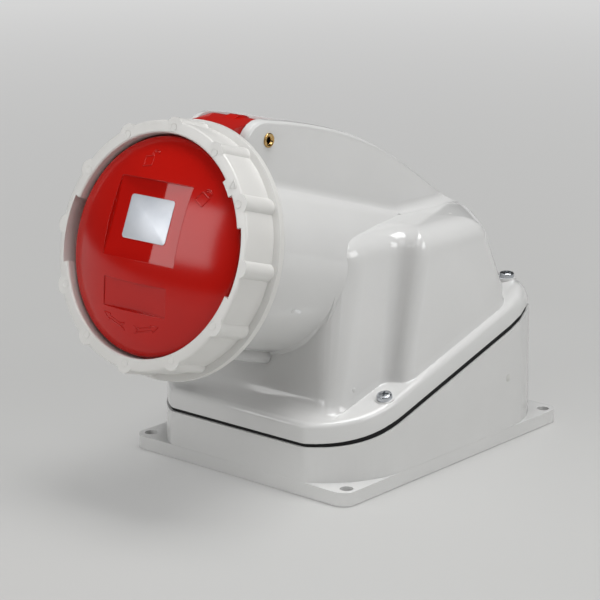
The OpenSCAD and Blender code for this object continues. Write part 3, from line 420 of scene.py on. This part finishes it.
def on_surface(shell: bpy.types.Object, near: tuple[float, float, float]) -> Matrix:
    """Places a flat piece on the face of a shell that is nearest to a point.

    Args:
        shell: Shell that carries the piece.
        near: The point in millimetres.

    Returns:
        A matrix at the face, whose third column is the face normal.
    """
    bpy.context.view_layer.update()
    _, where, normal, _ = shell.closest_point_on_mesh(Vector(near) * MM)
    turn = Vector((0, 0, 1)).rotation_difference(normal)
    return Matrix.Translation(where) @ turn.to_matrix().to_4x4()


@dataclass(frozen=True)
class MouthFrame:
    """Axes of the inclined mouth: x across, up along the ring face, out of the mouth."""

    origin: Vector
    up: Vector
    out: Vector
    stand_off: float = 60.0

    @classmethod
    def from_joint(cls) -> "MouthFrame":
        """Reads the axis of the ring joint and the front face of the ring.

        Returns:
            The frame, with its origin in the middle of the ring front.
        """
        joint = next(j for j in frame["joints"] if j["name"] == "ring_turn")
        out = Vector(joint["axis"]).normalized()
        out = out if out.y < 0 else -out
        middle = Vector(joint["pos_m"])
        reach = max((v.co - middle).dot(out) for v in frame["nodes"]["locking_ring"].data.vertices)
        return cls(middle + out * reach, out.cross(Vector((1, 0, 0))), out)

    def point(self, x: float, up: float, out: float) -> Vector:
        """Gives the place of a point in millimetres across, up and out."""
        return self.origin + (Vector((x, 0, 0)) + self.up * up + self.out * out) * MM

    def on_ring(self, radius: float, angle_deg: float) -> Matrix:
        """Places a flat piece on the front of the ring.

        Args:
            radius: Distance from the axis in millimetres.
            angle_deg: Angle round the axis, by which the piece is turned too.

        Returns:
            A matrix whose third column points out of the mouth.
        """
        turn = math.radians(angle_deg)
        axes = Matrix((Vector((1, 0, 0)), self.up, self.out)).transposed().to_4x4()
        where = self.point(radius * math.cos(turn), radius * math.sin(turn), 0)
        return Matrix.Translation(where) @ axes @ Matrix.Rotation(turn, 4, "Z")

    def on_shell(self, shell: bpy.types.Object, x: float, up: float,
                 turn_deg: float = 0.0) -> Matrix:
        """Places a flat piece on the outer face of a shell.

        Args:
            shell: Shell that carries the piece.
            x: Distance across in millimetres.
            up: Distance up in millimetres.
            turn_deg: Turn about the face normal.

        Returns:
            A matrix at the face, whose third column is the face normal.
        """
        bpy.context.view_layer.update()
        hit, where, normal, _ = shell.ray_cast(self.point(x, up, self.stand_off), -self.out)
        if not hit:
            raise ValueError(f"nothing of {shell.name} lies under {x}, {up}")
        across = (Vector((1, 0, 0)) - normal * normal.x).normalized()
        axes = Matrix((across, normal.cross(across), normal)).transposed().to_4x4()
        return Matrix.Translation(where) @ axes @ Matrix.Rotation(math.radians(turn_deg), 4, "Z")


@dataclass
class Housing:
    """Base, gasket, hood, cover screws and the marks of the moulds."""

    crease_deg: float = 25.0
    fine_crease_deg: float = 35.0
    head_d: float = 7.8
    head_h: float = 2.6
    head_sides: int = 48
    head_round: float = 1.3
    head_round_steps: int = 5
    head_fullness: float = 0.6
    shank_d: float = 4.0
    shank_l: float = 25.0
    recess_l: float = 4.7
    recess_w: float = 1.0
    recess_depth: float = 1.5
    slot_turn_deg: float = 30.0
    end_band: float = 0.2
    pip_r: float = 1.2
    pip_h: float = 0.25
    pip_sides: int = 24
    pip_crease_deg: float = 50.0
    pip_places: tuple[tuple[float, float, float], ...] = (
        (39.2, -91.5, 92.6), (52.3, -61.4, 48.8), (42.1, 27.8, 120.2))
    spot_r: float = 1.9
    spot_h: float = 0.04
    spot_sides: int = 40
    spot_place: tuple[float, float, float] = (70.5, 42.4, 34.4)

    def build(self) -> None:
        """Builds the smooth shells, the screws and the marks."""
        hood = welded_shell("hood", "hood_shell", self.crease_deg)
        settle(hood, Body.HOUSING, Slot.HOUSING)
        base = welded_shell("mounting_base", "base_shell", self.crease_deg)
        settle(base, Body.HOUSING, Slot.HOUSING)
        gasket = welded_shell("cover_gasket", "gasket_cord", self.crease_deg)
        settle(gasket, Body.HOUSING, Slot.SEAL)
        screws = join(spread(self.screw(), self.screw_places()), "pan_head_screws")
        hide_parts("cover_screws")
        settle(screws, Body.HOUSING, Slot.ZINC)
        pips = spread(self.pip(), [on_surface(hood, near) for near in self.pip_places])
        settle(join(pips, "mould_pips"), Body.HOUSING, Slot.HOUSING)
        spot = self.spot()
        put(spot, on_surface(base, self.spot_place))
        settle(spot, Body.HOUSING, Slot.HOUSING, EJECTOR_GREY)

    def screw_places(self) -> list[Matrix]:
        """Finds the four cover screws in the frame.

        Returns:
            One placing per screw, with its origin under the head and its third column up the shank.
        """
        co = np.array([v.co for v in frame["nodes"]["cover_screws"].data.vertices])
        places = []
        for side in (-1, 1):
            for end in (-1, 1):
                own = np.unique(co[(co[:, 0] * side > 0) & (co[:, 1] * end > 0)].round(6), axis=0)
                along = np.linalg.svd(own - own.mean(0), full_matrices=False)[2][0]
                reach = own @ (along * np.sign(along[2]))
                foot = own[reach < reach.min() + self.end_band * MM].mean(0)
                crown = own[reach > reach.max() - self.end_band * MM].mean(0)
                axis = Vector(crown - foot).normalized()
                turn = Vector((0, 0, 1)).rotation_difference(axis).to_matrix().to_4x4()
                places.append(Matrix.Translation(Vector(crown) - axis * self.head_h * MM) @ turn)
        return places

    def screw(self) -> bpy.types.Object:
        """Models a pan head screw with a cross slot.

        Returns:
            The screw, with its origin under the head.
        """
        bpy.ops.object.select_all(action="DESELECT")
        bpy.ops.mesh.primitive_cylinder_add(
            vertices=self.head_sides, radius=self.head_d / 2 * MM, depth=self.head_h * MM,
            location=(0, 0, self.head_h / 2 * MM))
        body = bpy.context.object
        bpy.ops.object.transform_apply()
        bpy.ops.object.mode_set(mode="EDIT")
        select_faces(body, lambda f: f.normal.z < -FACING)
        bpy.ops.mesh.inset(thickness=(self.head_d - self.shank_d) / 2 * MM)
        bpy.ops.mesh.extrude_region_move(
            TRANSFORM_OT_translate={"value": (0, 0, -self.shank_l * MM)})
        select_edges(body, lambda e: all(v.co.z > self.head_h / 2 * MM for v in e.verts))
        bpy.ops.mesh.bevel(offset=self.head_round * MM, segments=self.head_round_steps,
                           profile=self.head_fullness)
        bpy.ops.object.mode_set(mode="OBJECT")
        for turn in (0, 90):
            bpy.ops.mesh.primitive_cube_add(size=1)
            cutter = bpy.context.object
            cutter.scale = (self.recess_l * MM, self.recess_w * MM, 2 * self.recess_depth * MM)
            put(cutter, Matrix.Translation((0, 0, self.head_h * MM))
                @ Matrix.Rotation(math.radians(self.slot_turn_deg + turn), 4, "Z"))
            apply_modifier(body, "BOOLEAN", {"operation": "DIFFERENCE", "object": cutter})
            bpy.data.objects.remove(cutter)
        smooth(body, self.fine_crease_deg)
        return body

    def pip(self) -> bpy.types.Object:
        """Models a shallow round pip.

        Returns:
            The pip, flat on its own origin.
        """
        bpy.ops.object.select_all(action="DESELECT")
        bpy.ops.mesh.primitive_uv_sphere_add(
            segments=self.pip_sides, ring_count=self.pip_sides // 2, radius=self.pip_r * MM)
        dome = bpy.context.object
        dome.scale = (1, 1, self.pip_h / self.pip_r)
        bpy.ops.object.transform_apply()
        bpy.ops.object.mode_set(mode="EDIT")
        bpy.ops.mesh.select_all(action="SELECT")
        bpy.ops.mesh.bisect(plane_co=(0, 0, -self.pip_h / 2 * MM), plane_no=(0, 0, 1),
                            use_fill=True, clear_inner=True)
        bpy.ops.object.mode_set(mode="OBJECT")
        smooth(dome, self.pip_crease_deg)
        return dome

    def spot(self) -> bpy.types.Object:
        """Models the round mark of an ejector.

        Returns:
            The mark, flat on its own origin.
        """
        bpy.ops.object.select_all(action="DESELECT")
        bpy.ops.mesh.primitive_cylinder_add(
            vertices=self.spot_sides, radius=self.spot_r * MM, depth=2 * self.spot_h * MM)
        disc = bpy.context.object
        disc.name = "ejector_mark"
        bpy.ops.object.mode_set(mode="EDIT")
        select_edges(disc, lambda e: all(v.co.z > 0 for v in e.verts))
        bpy.ops.mesh.bevel(offset=self.spot_h / 2 * MM, segments=EDGE_STEPS)
        bpy.ops.object.mode_set(mode="OBJECT")
        smooth(disc, self.fine_crease_deg)
        return disc


@dataclass
class Lid:
    """Red lid with polished panels, label, raised signs and arrows."""

    crease_deg: float = 28.0
    panel_ups: tuple[float, float] = (11.8, -25.0)
    panel_cos: float = 0.9999
    panel_band: float = 0.02
    label_w: float = 27.6
    label_h: float = 21.0
    label_t: float = 0.25
    label_round: float = 1.6
    label_round_steps: int = 6
    label_edge: float = 0.08
    label_crease_deg: float = 30.0
    line_r: float = 0.3
    line_cuts: int = 3
    line_resolution: int = 2
    line_crease_deg: float = 60.0
    lock_places: tuple[tuple[Shackle, float, float, float], ...] = (
        (Shackle.CLOSED, 28.8, 25.6, -30.0), (Shackle.OPEN, -8.6, 38.6, 10.0))
    lock_w: float = 5.2
    lock_h: float = 5.0
    lock_round: float = 0.3
    lock_round_steps: int = 3
    shackle_r: float = 2.1
    shackle_t: float = 0.9
    shackle_leg: float = 0.9
    shackle_sides: int = 24
    shackle_band: float = 0.05
    arrow_places: tuple[tuple[Heading, float], ...] = (
        (Heading.CLOCKWISE, -108.0), (Heading.COUNTER, -77.0))
    arrow_r: float = 39.5
    arrow_w: float = 3.6
    shaft_w: float = 1.5
    arrow_deg: float = 22.0
    neck_share: float = 0.22
    root_share: float = 0.28
    fork_share: float = 0.36

    def build(self, mouth: MouthFrame) -> None:
        """Builds the shell, the label and the raised signs.

        Args:
            mouth: Axes of the mouth.
        """
        shell = welded_shell("lid", "lid_shell", self.crease_deg)
        settle(shell, Body.LID, Slot.LID)
        self.polish(shell, mouth)
        label = self.label()
        put(label, mouth.on_shell(shell, 0, self.panel_ups[0]))
        settle(label, Body.LID, Slot.ZINC, FOIL_SILVER)
        signs = []
        for state, x, up, turn_deg in self.lock_places:
            place = mouth.on_shell(shell, x, up, turn_deg)
            signs.append(self.raise_lines(shell, self.padlock(state), place))
        for heading, middle_deg in self.arrow_places:
            turn = math.radians(middle_deg)
            place = mouth.on_shell(shell, self.arrow_r * math.cos(turn),
                                   self.arrow_r * math.sin(turn), middle_deg - 90)
            signs.append(self.raise_lines(shell, self.arrow(heading), place))
        settle(join(signs, "raised_signs"), Body.LID, Slot.LID, SIGN_RED)

    def polish(self, shell: bpy.types.Object, mouth: MouthFrame) -> None:
        """Gives the floors of the two sunk panels the polish of their mould inserts.

        Args:
            shell: Shell of the lid.
            mouth: Axes of the mouth.
        """
        shell.data.materials.append(PANEL_RED.material())
        for up in self.panel_ups:
            place = mouth.on_shell(shell, 0, up)
            where, normal = place.translation, place.col[2].to_3d()
            for face in shell.data.polygons:
                height = abs((face.center - where).dot(normal))
                if face.normal.dot(normal) > self.panel_cos and height < self.panel_band * MM:
                    face.material_index = 1

    def label(self) -> bpy.types.Object:
        """Models the bare label plate with rounded corners.

        Returns:
            The plate, flat on its own origin.
        """
        bpy.ops.object.select_all(action="DESELECT")
        bpy.ops.mesh.primitive_cube_add(size=1)
        plate = bpy.context.object
        plate.name = "bare_label"
        plate.scale = (self.label_w * MM, self.label_h * MM, self.label_t * MM)
        plate.location = (0, 0, self.label_t / 2 * MM)
        bpy.ops.object.transform_apply()
        bpy.ops.object.mode_set(mode="EDIT")
        select_edges(plate, lambda e: abs(e.verts[0].co.z - e.verts[1].co.z)
                     > self.label_t / 2 * MM)
        bpy.ops.mesh.bevel(offset=self.label_round * MM, segments=self.label_round_steps)
        select_edges(plate, lambda e: all(v.co.z > self.label_t / 2 * MM for v in e.verts))
        bpy.ops.mesh.bevel(offset=self.label_edge * MM, segments=EDGE_STEPS)
        bpy.ops.object.mode_set(mode="OBJECT")
        smooth(plate, self.label_crease_deg)
        return plate

    def raise_lines(self, shell: bpy.types.Object, outline: bpy.types.Object,
                    place: Matrix) -> bpy.types.Object:
        """Lays a flat outline on the dome and turns its edges into raised round lines.

        Args:
            shell: Shell of the lid.
            outline: Mesh of edges, flat on its own origin.
            place: Place on the dome.

        Returns:
            The lines as a mesh.
        """
        put(outline, place)
        bpy.ops.object.mode_set(mode="EDIT")
        bpy.ops.mesh.select_all(action="SELECT")
        bpy.ops.mesh.subdivide(number_cuts=self.line_cuts)
        bpy.ops.object.mode_set(mode="OBJECT")
        apply_modifier(outline, "SHRINKWRAP", {"target": shell})
        bpy.ops.object.convert(target="CURVE")
        lines = bpy.context.object
        lines.data.bevel_depth = self.line_r * MM
        lines.data.bevel_resolution = self.line_resolution
        lines.data.use_fill_caps = True
        bpy.ops.object.convert(target="MESH")
        lines = bpy.context.object
        smooth(lines, self.line_crease_deg)
        return lines

    def padlock(self, state: Shackle) -> bpy.types.Object:
        """Models the outline of a padlock.

        Args:
            state: Whether the shackle is closed or swung open.

        Returns:
            The outline as a mesh of edges.
        """
        bpy.ops.object.select_all(action="DESELECT")
        bpy.ops.mesh.primitive_plane_add(size=1)
        outline = bpy.context.object
        outline.scale = (self.lock_w * MM, self.lock_h * MM, 1)
        bpy.ops.object.transform_apply()
        bpy.ops.object.mode_set(mode="EDIT")
        bpy.ops.mesh.select_all(action="SELECT")
        bpy.ops.mesh.delete(type="ONLY_FACE")
        bpy.ops.mesh.select_all(action="SELECT")
        bpy.ops.mesh.bevel(offset=self.lock_round * MM, segments=self.lock_round_steps,
                           affect="VERTICES")
        shift = 2 * self.shackle_r - self.shackle_t if state is Shackle.OPEN else 0.0
        rise = self.lock_h / 2 + self.shackle_leg
        middle = Vector((shift, rise, 0)) * MM
        for radius in (self.shackle_r, self.shackle_r - self.shackle_t):
            bpy.ops.mesh.primitive_circle_add(vertices=self.shackle_sides, radius=radius * MM,
                                              location=middle)
            select_points(outline, lambda v: v.co.y / MM < rise - 2 * self.shackle_band and abs(
                (v.co - middle).length / MM - radius) < self.shackle_band)
            bpy.ops.mesh.delete(type="VERT")
        select_points(outline, lambda v: abs(v.co.y / MM - rise) < self.shackle_band
                      and abs(v.co.x / MM) < self.lock_w / 2)
        bpy.ops.mesh.extrude_vertices_move(
            TRANSFORM_OT_translate={"value": (0, -self.shackle_leg * MM, 0)})
        bpy.ops.object.mode_set(mode="OBJECT")
        return outline

    def arrow(self, heading: Heading) -> bpy.types.Object:
        """Models the outline of an arrow with a forked tail, bent round the middle of the lid.

        Args:
            heading: Way in which the arrow points.

        Returns:
            The outline as a mesh of edges.
        """
        tip, neck = self.arrow_deg / 2, self.arrow_deg * self.neck_share
        root, fork = -self.arrow_deg * self.root_share, -self.arrow_deg * self.fork_share
        wide, slim = self.arrow_w / 2, self.shaft_w / 2
        upper = [(tip, 0.0), (neck, wide), (neck, slim), (root, slim), (-tip, wide), (fork, 0.0)]
        shape = upper + [(deg, -side) for deg, side in reversed(upper[1:-1])]
        bpy.ops.object.select_all(action="DESELECT")
        bpy.ops.mesh.primitive_circle_add(vertices=len(shape), radius=MM)
        outline = bpy.context.object
        for vert, (deg, side) in zip(outline.data.vertices, shape):
            turn = math.radians(deg * heading.value)
            radius = self.arrow_r + side
            up = radius * math.cos(turn) - self.arrow_r
            vert.co = (radius * math.sin(turn) * MM, up * MM, 0)
        return outline


@dataclass
class LockingRing:
    """White bayonet ring with the round marks of its mould and a raised pointer."""

    crease_deg: float = 32.0
    mark_circle: float = 55.7
    mark_r: float = 1.85
    mark_line: float = 0.3
    mark_h: float = 0.2
    mark_sunk: float = 0.8
    mark_sides: int = 40
    mark_crease_deg: float = 20.0
    mark_count: int = 12
    first_deg: float = -1.8
    pointer_deg: float = 37.8
    pointer_circle: float = 56.0
    pointer_r: float = 2.6
    pointer_turn: float = 90.0
    pointer_rim: float = 0.5
    pointer_h: float = 0.5
    pointer_sunk: float = 0.9
    pointer_round: float = 0.2
    pointer_crease_deg: float = 40.0

    def build(self, mouth: MouthFrame) -> None:
        """Builds the shell and the marks on the ring front.

        Args:
            mouth: Axes of the mouth.
        """
        settle(welded_shell("locking_ring", "ring_shell", self.crease_deg), Body.RING, Slot.RING)
        half = self.mark_count // 2
        angles = [self.first_deg + 360 * k / self.mark_count
                  for k in range(self.mark_count) if k % half]
        marks = spread(self.mark(), [mouth.on_ring(self.mark_circle, angle) for angle in angles])
        pointer = self.pointer()
        put(pointer, mouth.on_ring(self.pointer_circle, self.pointer_deg))
        settle(join(marks + [pointer], "ring_marks"), Body.RING, Slot.RING, MARK_WHITE)

    def mark(self) -> bpy.types.Object:
        """Models a round ejector mark as a low rim.

        Returns:
            The mark, flat on its own origin.
        """
        bpy.ops.object.select_all(action="DESELECT")
        bpy.ops.mesh.primitive_cylinder_add(
            vertices=self.mark_sides, radius=self.mark_r * MM, depth=2 * self.mark_h * MM)
        rim = bpy.context.object
        bpy.ops.object.mode_set(mode="EDIT")
        select_faces(rim, lambda f: f.normal.z > FACING)
        bpy.ops.mesh.inset(thickness=self.mark_line * MM)
        bpy.ops.transform.translate(value=(0, 0, -self.mark_sunk * self.mark_h * MM))
        bpy.ops.object.mode_set(mode="OBJECT")
        smooth(rim, self.mark_crease_deg)
        return rim

    def pointer(self) -> bpy.types.Object:
        """Models the raised triangle that shows the position of the ring.

        Returns:
            The triangle, flat on its own origin.
        """
        bpy.ops.object.select_all(action="DESELECT")
        bpy.ops.mesh.primitive_cylinder_add(
            vertices=3, radius=self.pointer_r * MM, depth=2 * self.pointer_h * MM,
            rotation=(0, 0, math.radians(self.pointer_turn)))
        block = bpy.context.object
        bpy.ops.object.transform_apply()
        bpy.ops.object.mode_set(mode="EDIT")
        select_faces(block, lambda f: f.normal.z > FACING)
        bpy.ops.mesh.inset(thickness=self.pointer_rim * MM)
        bpy.ops.transform.translate(value=(0, 0, -self.pointer_sunk * self.pointer_h * MM))
        bpy.ops.object.mode_set(mode="OBJECT")
        apply_modifier(block, "BEVEL",
                       {"width": self.pointer_round / 2 * MM, "segments": EDGE_STEPS})
        smooth(block, self.pointer_crease_deg)
        return block


@dataclass
class HingePin:
    """Tubular brass pin whose ends are rolled over."""

    crease_deg: float = 40.0
    roll: float = 0.4
    funnel: float = 1.3
    round_steps: int = 5
    flange_in: float = 2.5
    end_band: float = 0.02
    flat_deg: float = 2.0
    corner_deg: float = 60.0

    def build(self) -> None:
        """Rolls the rims at both ends of the pin and opens its bore there."""
        pin = welded_shell("hinge_pin", "rolled_pin", self.crease_deg)
        reach = max(v.co.x for v in pin.data.vertices) - self.end_band * MM
        axis = sum((v.co for v in pin.data.vertices), Vector()) / len(pin.data.vertices)
        pick_only(pin)
        bpy.ops.object.mode_set(mode="EDIT")
        bpy.ops.mesh.select_all(action="SELECT")
        bpy.ops.mesh.dissolve_limited(angle_limit=math.radians(self.flat_deg))
        corner = math.radians(self.corner_deg)
        for offset, outside in ((self.roll, True), (self.funnel, False)):
            select_edges(pin, lambda e: all(abs(v.co.x) > reach and outside == (
                (v.co - axis).yz.length > self.flange_in * MM) for v in e.verts)
                         and len(e.link_faces) == 2 and e.calc_face_angle() > corner)
            bpy.ops.mesh.bevel(offset=offset * MM, segments=self.round_steps)
        bpy.ops.object.mode_set(mode="OBJECT")
        smooth(pin, self.crease_deg)
        settle(pin, Body.HOUSING, Slot.BRASS)


@dataclass(frozen=True)
class SoftBox:
    """A rectangular lamp in metres and watts, which faces the object unless told otherwise."""

    name: str
    place: tuple[float, float, float]
    size: tuple[float, float]
    watts: float
    facing: tuple[float, float, float] | None = None

    def hang(self, middle: Vector) -> None:
        """Hangs the lamp.

        Args:
            middle: Point that it lights where it has no direction of its own.
        """
        place = Vector(self.place)
        toward = Vector(self.facing) if self.facing else middle - place
        bpy.ops.object.light_add(type="AREA", location=place,
                                 rotation=toward.to_track_quat("-Z", "Y").to_euler())
        lamp = bpy.context.object
        lamp.name = self.name
        lamp.data.shape = "RECTANGLE"
        lamp.data.size, lamp.data.size_y = self.size
        lamp.data.energy = self.watts


@dataclass
class Studio:
    """Pale floor, soft boxes and the camera of the photograph."""

    azimuth_deg: float = 40.65
    elevation_deg: float = 15.04
    distance: float = 1135.06
    target: tuple[float, float, float] = (-22.7, -14.3, 71.4)
    focal_px: float = 2178.71
    floor_size: float = 12.0
    floor_drop: float = 0.5
    floor_roughness: float = 0.7
    floor_lit: str = "#D6D6D4"
    floor_seen: str = "#8E8E8C"
    # Distance in metres and glow of the floor as it is seen, beside the object and far from it
    floor_near: tuple[float, float] = (0.3, 0.24)
    floor_far: tuple[float, float] = (1.8, 0.6)
    surround_colour: str = "#F4F4F3"
    surround: float = 0.06
    lamps: tuple[SoftBox, ...] = (
        SoftBox("front_box", (-0.426, -1.019, 0.518), (0.91, 0.48), 5.6, (0.0, 0.918, -0.395)),
        SoftBox("fill_box", (0.6, -0.85, 1.35), (0.8, 0.8), 3.0),
        SoftBox("side_box", (1.35, 0.07, 0.95), (0.9, 0.6), 8.9),
        SoftBox("top_box", (0.22, 0.1, 1.48), (0.8, 0.8), 17.0))

    def build(self) -> None:
        """Builds the stage, the light and the camera."""
        self.floor()
        self.world()
        for lamp in self.lamps:
            lamp.hang(Vector(self.target) * MM)
        self.camera()

    def floor(self) -> None:
        """Lays the pale floor, which is seen paler than the light that it sends back."""
        bpy.ops.object.select_all(action="DESELECT")
        bpy.ops.mesh.primitive_plane_add(size=self.floor_size,
                                         location=(0, 0, -self.floor_drop * MM))
        ground = bpy.context.object
        ground.name = "floor"
        made = bpy.data.materials.new("pale_floor")
        made.use_nodes = True
        tree = made.node_tree
        plain = tree.nodes["Principled BSDF"]
        plain.inputs["Base Color"].default_value = linear(self.floor_lit)
        plain.inputs["Roughness"].default_value = self.floor_roughness
        path = add_node(tree, "ShaderNodeLightPath", {}, {})
        mirrored = add_node(tree, "ShaderNodeMath", {"operation": "MAXIMUM"},
                            {0: path.outputs["Is Glossy Ray"],
                             1: path.outputs["Is Transmission Ray"]})
        seen = add_node(tree, "ShaderNodeMath", {"operation": "MAXIMUM"},
                        {0: path.outputs["Is Camera Ray"], 1: mirrored.outputs["Value"]})
        place = add_node(tree, "ShaderNodeTexCoord", {}, {})
        away = add_node(tree, "ShaderNodeVectorMath", {"operation": "LENGTH"},
                        {0: place.outputs["Object"]})
        glow = add_node(tree, "ShaderNodeMapRange",
                        {"From Min": self.floor_near[0], "From Max": self.floor_far[0],
                         "To Min": self.floor_near[1], "To Max": self.floor_far[1]},
                        {"Value": away.outputs["Value"]})
        pale = add_node(tree, "ShaderNodeBsdfPrincipled",
                        {"Base Color": linear(self.floor_seen), "Roughness": self.floor_roughness,
                         "Emission Color": linear("#FFFFFF")},
                        {"Emission Strength": glow.outputs["Result"]})
        mixed = add_node(tree, "ShaderNodeMixShader", {},
                         {"Fac": seen.outputs["Value"], 1: plain.outputs["BSDF"],
                          2: pale.outputs["BSDF"]})
        tree.links.new(mixed.outputs["Shader"], tree.nodes["Material Output"].inputs["Surface"])
        ground.data.materials.append(made)

    def world(self) -> None:
        """Sets a faint pale surround."""
        world = bpy.data.worlds.new("pale_surround")
        bpy.context.scene.world = world
        world.use_nodes = True
        shade = world.node_tree.nodes["Background"]
        shade.inputs["Color"].default_value = linear(self.surround_colour)
        shade.inputs["Strength"].default_value = self.surround

    def camera(self) -> None:
        """Sets the camera where the photograph was taken."""
        turn, lift = math.radians(self.azimuth_deg), math.radians(self.elevation_deg)
        level = Vector((math.sin(turn), -math.cos(turn), 0)) * math.cos(lift)
        away = level + Vector((0, 0, math.sin(lift)))
        bpy.ops.object.camera_add(location=(Vector(self.target) + away * self.distance) * MM,
                                  rotation=away.to_track_quat("Z", "Y").to_euler())
        camera = bpy.context.object
        camera.data.sensor_width = SENSOR_MM
        camera.data.lens = self.focal_px * SENSOR_MM / PHOTO_PX
        bpy.context.scene.camera = camera


def dress_frame() -> None:
    """Gives every solid of the frame the finish of its material slot."""
    slots = {part["node"]: Slot(part["material_slot"]) for part in frame["record"]["subparts"]}
    for name, obj in frame["nodes"].items():
        obj.data.materials.clear()
        obj.data.materials.append(SLOT_FINISH[slots[name]].material())
        LOG.info("%s is dressed as %s", name, slots[name].value)


def main() -> None:
    """Builds the looks in order."""
    logging.basicConfig(level=logging.INFO, format="%(name)s: %(message)s")
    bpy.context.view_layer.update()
    dress_frame()
    mouth = MouthFrame.from_joint()
    Housing().build()
    Lid().build(mouth)
    LockingRing().build(mouth)
    HingePin().build()
    Studio().build()
    bpy.context.scene.view_settings.view_transform = "Standard"


if __name__ == "__main__":
    main()
